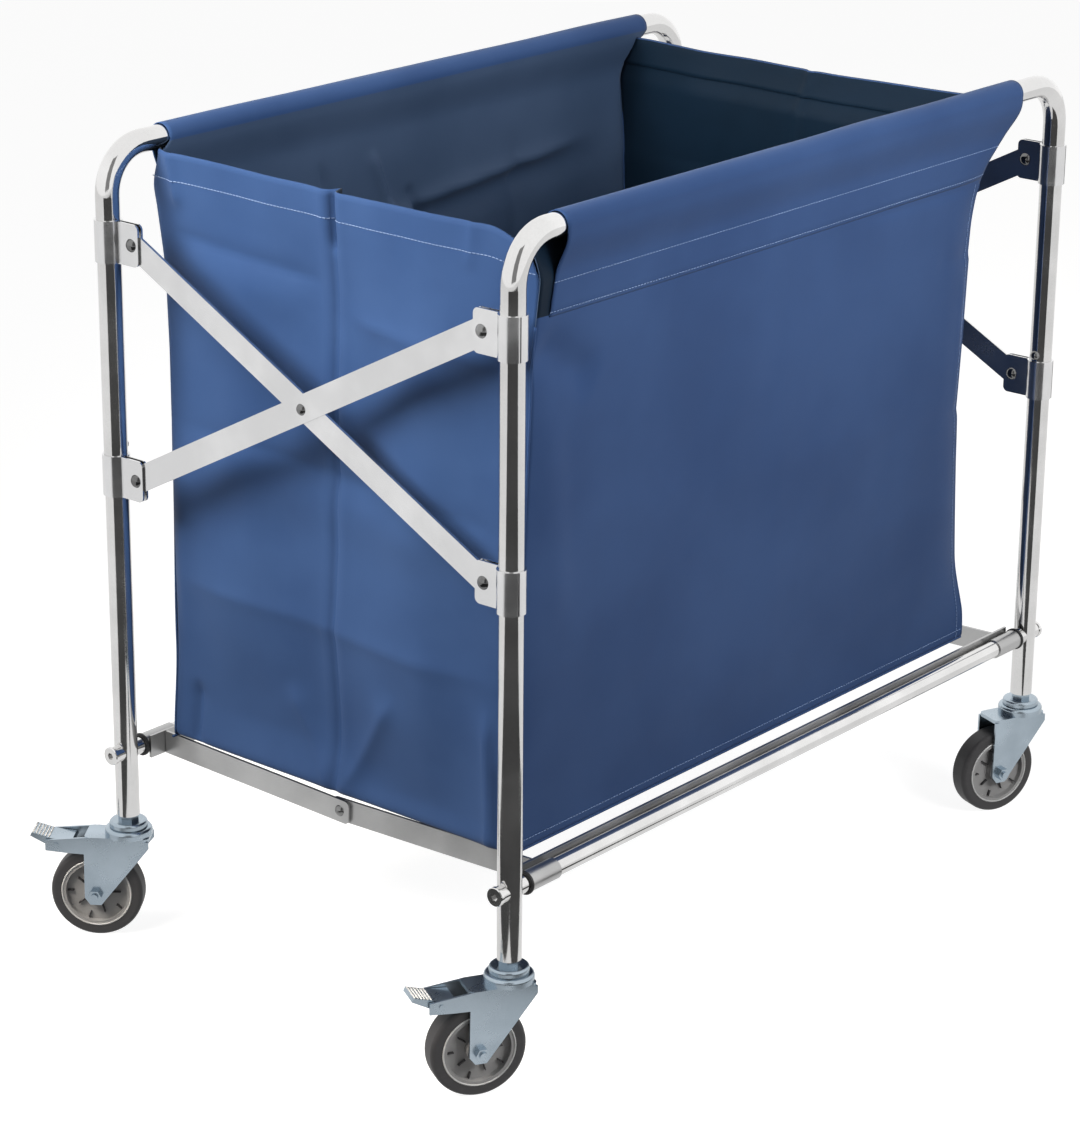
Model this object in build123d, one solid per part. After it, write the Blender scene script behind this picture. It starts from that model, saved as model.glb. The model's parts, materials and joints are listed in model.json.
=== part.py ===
from build123d import *
import os
from math import cos, degrees, atan2, hypot, radians, sin

os.makedirs("parts", exist_ok=True)

# Folding linen trolley, millimetres.
# X runs along the length, Y across the width, Z up.
# The origin is on the floor, in the middle between the four legs.
# "Near" pieces stand at -Y and "far" pieces at +Y; "left" is -X and "right" is +X.

# Frame tubes
LEG_X = 465.0
LEG_Y = 268.0
TUBE_R = 12.5
TUBE_WALL = 1.5
TOP_RAIL_Z = 867.0
BEND_R = 48.0
LEG_END_Z = 140.0

# Lower rails and the bolts that hold them
RAIL_Z = 213.0
RAIL_R = 9.5
RAIL_WALL = 1.5
RAIL_PLUG_LENGTH = 24.0
BOLT_R = 4.0
BOLT_HEAD_R = 10.0
BOLT_HEAD_THICKNESS = 5.0
BOLT_HEAD_X = 483.0
BOLT_TIP_X = 442.0
BOLT_SOCKET_AF = 7.0
BOLT_SOCKET_DEPTH = 3.0
COPE_GAP = 0.1

# Scissor bars and their brackets
UPPER_PIVOT_Z = 773.0
LOWER_PIVOT_Z = 524.0
PIVOT_INSET = 34.0
BAR_WIDTH = 27.0
BAR_THICKNESS = 3.0
BAR_HALF_GAP = 0.3
BRACKET_HEIGHT = 44.0
BRACKET_R = 14.6
EAR_REACH = 44.0
EAR_THICKNESS = 2.0
EAR_GAP = 0.3
EAR_CORNER_R = 6.0
EAR_ROOT = 12.8
FIXED_BORE_R = 12.52
SLIDING_BORE_R = 12.6
PIN_R = 4.0
PIN_BORE_R = 4.05
PIVOT_HEAD = (7.0, 4.0)
CENTRE_HEAD = (6.0, 3.5)

# Stop pins that the sliding collars come up against
STOP_PIN_ABOVE_COLLAR = 7.5
STOP_HEAD = (5.5, 4.0)
STOP_SHANK_R = 2.5

# Bottom frame: a long bar and two arms on each side, turning on the lower rails
SLEEVE_R = 11.0
SLEEVE_BORE_R = 9.6
SLEEVE_X = (398.0, 441.0)
BOTTOM_BAR_HEIGHT = 25.0
BOTTOM_BAR_THICKNESS = 3.0
BOTTOM_BAR_OFFSET = 10.5
ARM_ROOT = 14.5
ARM_OVERLAP = 13.0
ARM_SAG = 8.0
ARM_TIP_R = 6.0
OUTER_ARM_X = (417.0, 420.0)
INNER_ARM_X = (413.7, 416.7)
ARM_SLOT_R = 4.6

# Bag
BAG_X = (-424.0, 378.0)
PANEL_X = (-412.0, 376.0)
SLEEVE_TUBE_X = (-403.0, 383.0)
CLOTH = 2.0
BAG_END_TOP_Z = 856.0
BAG_FLOOR_Z = 226.2
PANEL_FOOT_Z = 228.7
PANEL_FOOT_Y = 236.0
HEM_Z = 815.0
HEM_SLEEVE_GAP = 0.5
CLOTH_GAP = 0.3

# Casters
WHEEL_R = 50.0
WHEEL_WIDTH = 25.0
CORE_R = 38.3
CORE_RECESS_R = 33.5
CORE_WEB = 12.0
HUB_R = 13.0
HUB_WIDTH = 29.0
AXLE_R = 4.0
AXLE_BORE_R = 4.08
CASTER_TRAIL = 35.0
FORK_HALF_GAP = 15.2
FORK_PLATE = 2.6
CROWN_Z = (113.0, 117.0)
DISH_R = 25.5
DISH_Z = (117.0, 126.0)
RACE_R = 20.5
RACE_Z = (126.3, 133.2)
NUT_AF = 19.0
NUT_TOP_Z = 139.8
KING_PIN_R = 5.0
KING_PIN_BORE_R = 5.06
KING_PIN_END_Z = 110.0
PLUG_R = 10.9
PLUG_TOP_Z = 182.0
BRAKE_PIVOT = (76.0, 107.0)
BRAKE_PIN_R = 2.5
BRAKE_PIN_BORE_R = 2.56
CASTER_ANGLES = {
    "near_left": 150.0,
    "near_right": 158.0,
    "far_left": 125.0,
    "far_right": 150.0,
}
BRAKED = ("near_left", "far_left")

FRAME_SIDES = {"near": -1, "far": 1}
FRAME_ENDS = {"left": -1, "right": 1}

PIVOT_Y = LEG_Y - PIVOT_INSET
BAR_HALF_LENGTH = hypot(PIVOT_Y, (UPPER_PIVOT_Z - LOWER_PIVOT_Z) / 2)
BAR_ANGLE = degrees(atan2((UPPER_PIVOT_Z - LOWER_PIVOT_Z) / 2, PIVOT_Y))
SCISSOR_CENTRE_Z = (UPPER_PIVOT_Z + LOWER_PIVOT_Z) / 2
ARM_LENGTH = hypot(LEG_Y, ARM_SAG)
ARM_ANGLE = degrees(atan2(ARM_SAG, LEG_Y))


def rod(x0, x1, y, z, radius):
    """A round bar along X."""
    centre = Pos((x0 + x1) / 2, y, z)
    return centre * Rot(0, 90, 0) * Cylinder(radius, abs(x1 - x0))


def post(x, y, z0, z1, radius):
    """A round bar along Z."""
    return Pos(x, y, (z0 + z1) / 2) * Cylinder(radius, z1 - z0)


def slab(x0, x1, outline):
    """A flat piece with a closed outline of (y, z) points or edges, between two X planes."""
    face = Plane.YZ.offset(min(x0, x1)) * outline
    return extrude(face, amount=abs(x1 - x0), dir=(1, 0, 0))


def dome(x, y, z, radius, height, outward):
    """A rivet's round head, seated on the plane at x and facing outward along X."""
    ball_r = (radius**2 + height**2) / (2 * height)
    half_arc = degrees(atan2(radius, ball_r - height)) / 2
    middle = (
        height - ball_r * (1 - cos(radians(half_arc))),
        ball_r * sin(radians(half_arc)),
    )
    profile = Line((0, 0), (0, radius)) + ThreePointArc((0, radius), middle, (height, 0))
    profile += Line((height, 0), (0, 0))
    turn = 0 if outward > 0 else 180
    return Pos(x, y, z) * Rot(0, 0, turn) * revolve(make_face(profile), Axis.X)


def headed_pin(x_low, x_high, y, z, shank_r, head):
    """A rivet along X with a round head, given as (radius, height), on both faces."""
    return (
        rod(x_low, x_high, y, z, shank_r)
        + dome(x_low, y, z, *head, -1)
        + dome(x_high, y, z, *head, 1)
    )


def export(solid, name):
    """Write one node."""
    export_step(solid, f"parts/{name}.step")


# ---------------------------------------------------------------- side frames


def side_tube(side):
    """One bent tube: two legs and the top rail, drilled for the bolts and the stop pins."""
    y = side * LEG_Y
    bend_x = LEG_X - BEND_R
    bend_z = TOP_RAIL_Z - BEND_R
    reach = BEND_R * cos(radians(45))
    path = Wire(
        [
            Edge.make_line((-LEG_X, y, LEG_END_Z), (-LEG_X, y, bend_z)),
            Edge.make_three_point_arc(
                (-LEG_X, y, bend_z), (-bend_x - reach, y, bend_z + reach), (-bend_x, y, TOP_RAIL_Z)
            ),
            Edge.make_line((-bend_x, y, TOP_RAIL_Z), (bend_x, y, TOP_RAIL_Z)),
            Edge.make_three_point_arc(
                (bend_x, y, TOP_RAIL_Z), (bend_x + reach, y, bend_z + reach), (LEG_X, y, bend_z)
            ),
            Edge.make_line((LEG_X, y, bend_z), (LEG_X, y, LEG_END_Z)),
        ]
    )
    start = Plane(origin=(-LEG_X, y, LEG_END_Z), z_dir=(0, 0, 1))
    tube = sweep(start * Circle(TUBE_R), path=path)
    tube -= sweep(start * Circle(TUBE_R - TUBE_WALL), path=path)
    for end in FRAME_ENDS.values():
        tube -= rod(end * (LEG_X - 2 * TUBE_R), end * (LEG_X + 2 * TUBE_R), y, RAIL_Z, PIN_BORE_R)
        tube -= rod(end * (LEG_X - 2 * TUBE_R), end * LEG_X, y, stop_pin_z(), STOP_SHANK_R + COPE_GAP / 2)
    return tube


def lower_rail(side):
    """The lower rail tube, plugged and drilled at both ends, its ends coped to the legs."""
    y = side * LEG_Y
    tube = rod(-LEG_X, LEG_X, y, RAIL_Z, RAIL_R)
    hollow_x = LEG_X - TUBE_R - RAIL_PLUG_LENGTH
    tube -= rod(-hollow_x, hollow_x, y, RAIL_Z, RAIL_R - RAIL_WALL)
    for end in FRAME_ENDS.values():
        tube -= post(end * LEG_X, y, RAIL_Z - 2 * RAIL_R, RAIL_Z + 2 * RAIL_R, TUBE_R + COPE_GAP)
        tube -= rod(end * hollow_x, end * LEG_X, y, RAIL_Z, PIN_BORE_R)
    return tube.solids().sort_by(SortBy.VOLUME)[-1]


def rail_bolt(side, end):
    """A large flat-headed socket bolt through the leg into the rail's plug."""
    y = side * LEG_Y
    head = rod(end * BOLT_HEAD_X, end * (BOLT_HEAD_X + BOLT_HEAD_THICKNESS), y, RAIL_Z, BOLT_HEAD_R)
    head = chamfer(head.edges().filter_by(GeomType.CIRCLE), 0.8)
    face_x = BOLT_HEAD_X + BOLT_HEAD_THICKNESS
    hexagon = Pos(y, RAIL_Z) * RegularPolygon(BOLT_SOCKET_AF / 2, 6, major_radius=False)
    socket = slab(end * (face_x - BOLT_SOCKET_DEPTH), end * (face_x + 1), hexagon)
    shank = rod(end * BOLT_TIP_X, end * (BOLT_HEAD_X + 1), y, RAIL_Z, BOLT_R)
    return (head + shank) - socket


def rail_spacer(side, end):
    """The saddle between a bolt's head and the leg, hollowed to the leg's curve."""
    y = side * LEG_Y
    block = rod(end * LEG_X, end * (BOLT_HEAD_X - COPE_GAP), y, RAIL_Z, BOLT_HEAD_R - 1)
    block -= post(end * LEG_X, y, RAIL_Z - 2 * RAIL_R, RAIL_Z + 2 * RAIL_R, TUBE_R + COPE_GAP)
    block -= rod(end * LEG_X, end * BOLT_HEAD_X, y, RAIL_Z, PIN_BORE_R)
    return block


def stop_pin_z():
    """Height of the pins that stop the collars on their way up."""
    return LOWER_PIVOT_Z + BRACKET_HEIGHT / 2 + STOP_PIN_ABOVE_COLLAR


def stop_pin(side, end):
    """A dome-headed pin on the inner face of a leg."""
    y = side * LEG_Y
    seat_x = LEG_X - TUBE_R
    z = stop_pin_z()
    head_r = STOP_HEAD[0]
    head = dome(end * seat_x, y, z, *STOP_HEAD, -end)
    head += rod(end * seat_x, end * (seat_x + TUBE_WALL), y, z, head_r)
    head -= post(end * LEG_X, y, z - 2 * head_r, z + 2 * head_r, TUBE_R + COPE_GAP / 2)
    return head + rod(end * (seat_x - 1), end * (seat_x + 2 * TUBE_WALL), y, z, STOP_SHANK_R)


# ------------------------------------------------------------- scissor linkage


def layer_x(end, outer):
    """Inner and outer X of a scissor bar: the outer one of a pair, or the one behind it."""
    near = LEG_X + BAR_HALF_GAP if outer else LEG_X - BAR_HALF_GAP - BAR_THICKNESS
    return end * near, end * (near + BAR_THICKNESS)


def bracket(side, end, z, outer, bore_r):
    """A strip wrapped round the leg, with two round-cornered ears that hold a bar between them."""
    x_leg = end * LEG_X
    y_leg = side * LEG_Y
    band = post(x_leg, y_leg, z - BRACKET_HEIGHT / 2, z + BRACKET_HEIGHT / 2, BRACKET_R)
    x_low, x_high = sorted(layer_x(end, outer))
    ear_length = EAR_REACH + EAR_CORNER_R - EAR_ROOT
    ear_y = y_leg - side * (EAR_ROOT + EAR_REACH - EAR_CORNER_R) / 2
    ear_shape = Pos(ear_y, z) * RectangleRounded(ear_length, BRACKET_HEIGHT, EAR_CORNER_R)
    root_cut = Pos(y_leg, z) * Rectangle(2 * EAR_ROOT, 2 * BRACKET_HEIGHT)
    ear_shape = ear_shape - root_cut
    for x0 in (x_low - EAR_GAP - EAR_THICKNESS, x_high + EAR_GAP):
        band += slab(x0, x0 + EAR_THICKNESS, ear_shape)
    band -= post(x_leg, y_leg, z - BRACKET_HEIGHT, z + BRACKET_HEIGHT, bore_r)
    pivot_y = side * PIVOT_Y
    band -= rod(x_low - 10, x_high + 10, pivot_y, z, PIN_BORE_R)
    return band


def scissor_bar(end, outer, upper_side):
    """A flat bar from an upper bracket down to the collar on the other frame."""
    shape = SlotCenterToCenter(2 * BAR_HALF_LENGTH, BAR_WIDTH)
    for along in (-BAR_HALF_LENGTH, 0, BAR_HALF_LENGTH):
        shape -= Pos(along, 0) * Circle(PIN_BORE_R)
    tilt = upper_side * BAR_ANGLE
    return slab(*layer_x(end, outer), Pos(0, SCISSOR_CENTRE_Z) * Rot(0, 0, tilt) * shape)


def pivot_rivet(end, outer, y, z):
    """A rivet through both ears of a bracket and the bar between them."""
    x_low, x_high = sorted(layer_x(end, outer))
    x_low -= EAR_GAP + EAR_THICKNESS
    x_high += EAR_GAP + EAR_THICKNESS
    return headed_pin(x_low, x_high, y, z, PIN_R, PIVOT_HEAD)


def centre_rivet(end):
    """The rivet that joins the two crossing bars."""
    x_low, x_high = sorted((layer_x(end, False)[0], layer_x(end, True)[1]))
    return headed_pin(x_low, x_high, 0, SCISSOR_CENTRE_Z, PIN_R, CENTRE_HEAD)


# ---------------------------------------------------------------- bottom frame


def bottom_bar(side):
    """The long flat bar of one half of the bottom frame, welded to its two sleeves."""
    y_rail = side * LEG_Y
    y_bar = side * (LEG_Y - BOTTOM_BAR_OFFSET - BOTTOM_BAR_THICKNESS / 2)
    bar = Pos(0, y_bar, RAIL_Z) * Box(2 * SLEEVE_X[1], BOTTOM_BAR_THICKNESS, BOTTOM_BAR_HEIGHT)
    for end in FRAME_ENDS.values():
        bar += rod(end * SLEEVE_X[0], end * SLEEVE_X[1], y_rail, RAIL_Z, SLEEVE_R)
    return bar - rod(-LEG_X, LEG_X, y_rail, RAIL_Z, SLEEVE_BORE_R)


def bottom_arm(side, end):
    """A flat arm from the long bar to just past the middle, where the two halves lap."""
    x_range = OUTER_ARM_X if side > 0 else INNER_ARM_X
    hole_r = PIN_BORE_R if side > 0 else ARM_SLOT_R
    tip = ARM_LENGTH + ARM_OVERLAP
    strip = Pos((ARM_ROOT + tip) / 2, 0) * Rectangle(tip - ARM_ROOT, BOTTOM_BAR_HEIGHT)
    tip_corners = strip.vertices().group_by(Axis.X)[-1]
    strip = fillet(tip_corners, ARM_TIP_R)
    strip -= Pos(ARM_LENGTH, 0) * Circle(hole_r)
    turn = -ARM_ANGLE if side < 0 else 180 + ARM_ANGLE
    placed = Pos(side * LEG_Y, RAIL_Z) * Rot(0, 0, turn) * strip
    return slab(end * x_range[0], end * x_range[1], placed)


def arm_rivet(end):
    """The rivet at the lap of the two arms; it turns with the far arm."""
    x_in, x_out = OUTER_ARM_X
    z = RAIL_Z - ARM_SAG
    rivet = rod(end * x_in, end * x_out, 0, z, PIN_R)
    return rivet + dome(end * x_out, 0, z, *CENTRE_HEAD, end)


# --------------------------------------------------------------------- casters


def caster_place(name):
    """Where a caster stands, turned so that its own +X is the way the wheel trails."""
    side, end = name.split("_")
    x = FRAME_ENDS[end] * LEG_X
    y = FRAME_SIDES[side] * LEG_Y
    return Location((x, y, 0), (0, 0, CASTER_ANGLES[name]))


def cross_rod(x, z, half_width, radius):
    """A round bar along Y, in a caster's own frame."""
    return Pos(x, 0, z) * Rot(90, 0, 0) * Cylinder(radius, 2 * half_width)


def side_plate(outline, y0, thickness):
    """A plate with an outline of (x, z) points, in a caster's own frame."""
    face = Plane.XZ.offset(-y0) * make_face(outline)
    return extrude(face, amount=thickness, dir=(0, 1, 0))


def caster_stem():
    """Plug, hexagon, upper race and king pin: the part that stays with the leg."""
    stem = post(0, 0, NUT_TOP_Z, PLUG_TOP_Z, PLUG_R)
    nut = Pos(0, 0, RACE_Z[1]) * RegularPolygon(NUT_AF / 2, 6, major_radius=False)
    stem += extrude(nut, amount=NUT_TOP_Z - RACE_Z[1])
    race = post(0, 0, *RACE_Z, RACE_R)
    stem += fillet(race.edges().group_by(Axis.Z)[-1], 3.0)
    stem += post(0, 0, KING_PIN_END_Z, RACE_Z[0], KING_PIN_R)
    return stem


def fork(braked):
    """Dish, crown and two cheeks; a braked fork also has two rails behind for the pedal."""
    dish = post(0, 0, *DISH_Z, DISH_R)
    dish = fillet(dish.edges().group_by(Axis.Z)[-1], 4.0)
    outer_y = FORK_HALF_GAP + FORK_PLATE
    crown_height = CROWN_Z[1] - CROWN_Z[0]
    crown = Pos(11, 0, sum(CROWN_Z) / 2) * Box(70, 2 * outer_y, crown_height)
    crown = fillet(crown.edges().filter_by(Axis.Z), 6.0)
    body = dish + crown
    axle = (CASTER_TRAIL, WHEEL_R)
    cheek = Polyline(
        (-24, CROWN_Z[0] + 1), (-24, 106), (axle[0] - 12, axle[1] - 4), (axle[0] - 6, axle[1] - 12),
        (axle[0] + 6, axle[1] - 12), (axle[0] + 12, axle[1] - 4), (46, CROWN_Z[0] + 1), close=True
    )
    for y0 in (-outer_y, FORK_HALF_GAP):
        body += side_plate(cheek, y0, FORK_PLATE)
        if braked:
            body += side_plate(brake_rail_outline(), y0, FORK_PLATE)
    body -= cross_rod(*axle, 2 * outer_y, AXLE_BORE_R)
    body -= post(0, 0, KING_PIN_END_Z - 1, DISH_Z[1] + 1, KING_PIN_BORE_R)
    if braked:
        body -= cross_rod(*BRAKE_PIVOT, 2 * outer_y, BRAKE_PIN_BORE_R)
    return body


def brake_rail_outline():
    """The side rail that carries the brake pedal behind a braked fork."""
    return Polyline(
        (20, CROWN_Z[1]), (40, CROWN_Z[1]), (BRAKE_PIVOT[0] + 12, BRAKE_PIVOT[1] + 5),
        (BRAKE_PIVOT[0] + 12, BRAKE_PIVOT[1] - 7), (BRAKE_PIVOT[0] - 12, BRAKE_PIVOT[1] - 9),
        (42, 97), (20, 100), close=True
    )


def brake_pedal():
    """A pedal with a tread that stands out behind, a cam over the tyre and its own pin."""
    x, z = BRAKE_PIVOT
    outline = Polyline(
        (x - 16, z + 4), (x + 6, z + 6), (x + 27, z + 12), (x + 29, z + 8),
        (x + 12, z - 1), (x + 2, z - 7), (x - 10, z - 7), (x - 17, z - 1), close=True
    )
    half_width = FORK_HALF_GAP - 1.0
    body = side_plate(outline, -half_width, 2 * half_width)
    return body + cross_rod(x, z, FORK_HALF_GAP + FORK_PLATE + 1, BRAKE_PIN_R)


def wheel_core():
    """The wheel's moulded centre: rim, recessed web and hub."""
    x, z = CASTER_TRAIL, WHEEL_R
    core = cross_rod(x, z, WHEEL_WIDTH / 2, CORE_R)
    for y_sign in (-1, 1):
        depth = (WHEEL_WIDTH - CORE_WEB) / 2
        recess = Pos(x, y_sign * (WHEEL_WIDTH - depth) / 2, z) * Rot(90, 0, 0)
        core -= recess * Cylinder(CORE_RECESS_R, depth)
    core += cross_rod(x, z, HUB_WIDTH / 2, HUB_R)
    return core - cross_rod(x, z, HUB_WIDTH, AXLE_BORE_R)


def tyre():
    """A solid rubber ring with a rounded tread."""
    ring = cross_rod(CASTER_TRAIL, WHEEL_R, WHEEL_WIDTH / 2, WHEEL_R)
    ring = fillet(ring.edges().filter_by(GeomType.CIRCLE), 5.0)
    return ring - cross_rod(CASTER_TRAIL, WHEEL_R, WHEEL_WIDTH, CORE_R)


def axle_bolt():
    """Bolt with a hexagon head on one side and a nut on the other."""
    x, z = CASTER_TRAIL, WHEEL_R
    outer_y = FORK_HALF_GAP + FORK_PLATE
    bolt = cross_rod(x, z, outer_y + 9, AXLE_R)
    for y0, thickness in ((-outer_y - 5.3, 5.3), (outer_y, 6.5)):
        hexagon = Pos(x, z) * RegularPolygon(6.5, 6, major_radius=False)
        face = Plane.XZ.offset(-y0) * hexagon
        bolt += extrude(face, amount=thickness, dir=(0, 1, 0))
    return bolt


# ------------------------------------------------------------------------- bag


def teardrop(radius, foot_half):
    """A round loop over the top rail whose two sides close at the hem, in the YZ plane."""
    loop = CenterArc((0, 0), radius, 0, 360)
    foot = Pos(0, HEM_Z - TOP_RAIL_Z) * CenterArc((0, 0), foot_half, 0, 360)
    return make_face(make_hull([loop, foot]))


def long_panel(side):
    """One long side of the bag, with the open sleeve that the top rail runs through."""
    inner_r = TUBE_R + HEM_SLEEVE_GAP
    sleeve = teardrop(inner_r + CLOTH, CLOTH) - teardrop(inner_r, CLOTH / 4)
    sleeve = slab(*SLEEVE_TUBE_X, Pos(side * LEG_Y, TOP_RAIL_Z) * sleeve)
    y_hem = side * LEG_Y
    y_foot = side * PANEL_FOOT_Y
    wall = make_face(
        Polyline(
            (y_hem - CLOTH, HEM_Z), (y_hem + CLOTH, HEM_Z),
            (y_foot + CLOTH / 2, PANEL_FOOT_Z), (y_foot - CLOTH / 2, PANEL_FOOT_Z), close=True
        )
    )
    return sleeve + slab(*PANEL_X, wall)


def end_panel(end):
    """One end of the bag, as wide as the space between the long panels."""
    x_outer = BAG_X[0] if end < 0 else BAG_X[1]
    x_inner = x_outer - end * CLOTH
    slope = (LEG_Y - PANEL_FOOT_Y) / (HEM_Z - PANEL_FOOT_Z)
    y_top = PANEL_FOOT_Y + slope * (HEM_Z - BAG_FLOOR_Z) - BRACKET_R
    y_foot = PANEL_FOOT_Y - CLOTH
    outline = Polyline(
        (-y_top, BAG_END_TOP_Z), (y_top, BAG_END_TOP_Z),
        (y_foot, BAG_FLOOR_Z + CLOTH + CLOTH_GAP), (-y_foot, BAG_FLOOR_Z + CLOTH + CLOTH_GAP), close=True
    )
    return slab(x_outer, x_inner, make_face(outline))


def bag_floor():
    """The bag's floor, lying on the arms of the bottom frame."""
    length = BAG_X[1] - BAG_X[0]
    centre = Pos(sum(BAG_X) / 2, 0, BAG_FLOOR_Z + CLOTH / 2)
    return centre * Box(length, 2 * PANEL_FOOT_Y, CLOTH)


# ----------------------------------------------------------------------- build


def build_side_frames():
    for name, side in FRAME_SIDES.items():
        export(side_tube(side), f"{name}_side_tube")
        export(lower_rail(side), f"{name}_lower_rail")
        ends = FRAME_ENDS.values()
        export(Compound([rail_bolt(side, end) for end in ends]), f"{name}_rail_bolts")
        export(Compound([rail_spacer(side, end) for end in ends]), f"{name}_rail_spacers")
        export(Compound([stop_pin(side, end) for end in ends]), f"{name}_stop_pins")


def bar_is_outer(side, at_top):
    """The outer bar of each pair runs from the near upper bracket to the far collar."""
    return (side < 0) == at_top


def build_linkage():
    for end_name, end in FRAME_ENDS.items():
        for side_name, side in FRAME_SIDES.items():
            top_outer = bar_is_outer(side, True)
            low_outer = bar_is_outer(side, False)
            upper = bracket(side, end, UPPER_PIVOT_Z, top_outer, FIXED_BORE_R)
            collar = bracket(side, end, LOWER_PIVOT_Z, low_outer, SLIDING_BORE_R)
            export(upper, f"{side_name}_{end_name}_upper_bracket")
            export(collar, f"{side_name}_{end_name}_sliding_collar")
        export(scissor_bar(end, True, -1), f"{end_name}_outer_scissor_bar")
        export(scissor_bar(end, False, 1), f"{end_name}_inner_scissor_bar")
        outer_rivets = [centre_rivet(end), pivot_rivet(end, True, PIVOT_Y, LOWER_PIVOT_Z)]
        export(Compound(outer_rivets), f"{end_name}_outer_bar_rivets")
        export(pivot_rivet(end, False, -PIVOT_Y, LOWER_PIVOT_Z), f"{end_name}_inner_bar_rivet")
    for side_name, side in FRAME_SIDES.items():
        outer = bar_is_outer(side, True)
        ends = FRAME_ENDS.values()
        rivets = [pivot_rivet(end, outer, side * PIVOT_Y, UPPER_PIVOT_Z) for end in ends]
        export(Compound(rivets), f"{side_name}_pivot_rivets")


def build_bottom_frame():
    ends = FRAME_ENDS.values()
    for name, side in FRAME_SIDES.items():
        export(bottom_bar(side), f"{name}_bottom_bar")
        export(Compound([bottom_arm(side, end) for end in ends]), f"{name}_bottom_arms")
    export(Compound([arm_rivet(end) for end in ends]), "bottom_arm_rivets")


def build_casters():
    for side in FRAME_SIDES:
        stems = [caster_place(f"{side}_{end}") * caster_stem() for end in FRAME_ENDS]
        export(Compound(stems), f"{side}_caster_stems")
    for name in CASTER_ANGLES:
        place = caster_place(name)
        export(place * fork(name in BRAKED), f"{name}_caster_fork")
        export(place * wheel_core(), f"{name}_wheel_core")
        export(place * tyre(), f"{name}_tyre")
        export(place * axle_bolt(), f"{name}_axle_bolt")
    for name in BRAKED:
        export(caster_place(name) * brake_pedal(), f"{name}_brake_pedal")


def build_bag():
    for name, side in FRAME_SIDES.items():
        export(long_panel(side), f"bag_{name}_panel")
    for name, end in FRAME_ENDS.items():
        export(end_panel(end), f"bag_{name}_end")
    export(bag_floor(), "bag_floor")


build_side_frames()
build_linkage()
build_bottom_frame()
build_casters()
build_bag()
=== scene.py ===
"""Folding linen trolley: finishes, cloth bag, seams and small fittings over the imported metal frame."""

from __future__ import annotations

import json
import logging
import math
from collections.abc import Callable, Sequence
from dataclasses import dataclass
from enum import Enum

import bmesh
import bpy
import numpy as np
from mathutils import Matrix, Vector, noise


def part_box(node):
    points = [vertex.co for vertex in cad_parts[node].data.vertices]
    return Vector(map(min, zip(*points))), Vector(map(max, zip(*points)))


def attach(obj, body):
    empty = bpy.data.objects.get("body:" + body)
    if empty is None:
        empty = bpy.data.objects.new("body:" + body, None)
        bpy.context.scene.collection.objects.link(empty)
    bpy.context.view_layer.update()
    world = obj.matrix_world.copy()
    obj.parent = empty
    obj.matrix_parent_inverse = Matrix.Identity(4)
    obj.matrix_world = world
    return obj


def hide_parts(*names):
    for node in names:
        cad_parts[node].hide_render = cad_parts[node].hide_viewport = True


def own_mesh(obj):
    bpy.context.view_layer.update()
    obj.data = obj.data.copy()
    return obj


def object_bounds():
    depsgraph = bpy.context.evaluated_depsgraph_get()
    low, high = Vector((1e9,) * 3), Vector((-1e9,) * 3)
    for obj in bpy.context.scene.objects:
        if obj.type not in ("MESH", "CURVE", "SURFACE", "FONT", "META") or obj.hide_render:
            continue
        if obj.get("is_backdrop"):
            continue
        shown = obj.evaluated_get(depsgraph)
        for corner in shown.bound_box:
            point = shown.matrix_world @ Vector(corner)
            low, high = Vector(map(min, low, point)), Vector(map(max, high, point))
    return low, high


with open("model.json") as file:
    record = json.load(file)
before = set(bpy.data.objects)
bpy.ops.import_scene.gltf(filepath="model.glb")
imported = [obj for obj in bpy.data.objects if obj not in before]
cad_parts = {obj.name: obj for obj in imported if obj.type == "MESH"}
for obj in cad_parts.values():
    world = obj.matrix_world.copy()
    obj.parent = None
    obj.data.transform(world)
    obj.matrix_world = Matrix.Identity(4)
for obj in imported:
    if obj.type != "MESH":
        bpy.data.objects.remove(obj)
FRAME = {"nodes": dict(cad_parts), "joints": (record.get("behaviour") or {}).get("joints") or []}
LOG = logging.getLogger("linen_trolley")
Face = tuple[int, ...]
Shape = tuple[np.ndarray, list[Face]]

LEG_X = 0.465
LEG_Y = 0.268
RAIL_TOP_Z = 0.867
RAIL_LOW_Z = 0.213
WALL_FOOT_Y = 0.236
WALL_FOOT_Z = 0.2287
HEM_Z = 0.815
FLAP_END_Z = 0.779
CORNER_TOP_Z = 0.775
END_TOP_Z = 0.857
FLOOR_Z = 0.2275
WALL_LOW_Z = 0.2262
CLOTH_THICK = 0.0011
SLEEVE_R = 0.0137
RAIL_SIDE_Z = 0.863


class Side(Enum):
    """The two long sides, with the sign of Y on each."""

    NEAR = -1
    FAR = 1


class End(Enum):
    """The two short ends, with the sign of X on each."""

    LEFT = -1
    RIGHT = 1


# ------------------------------------------------------------------ shader kit


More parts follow.
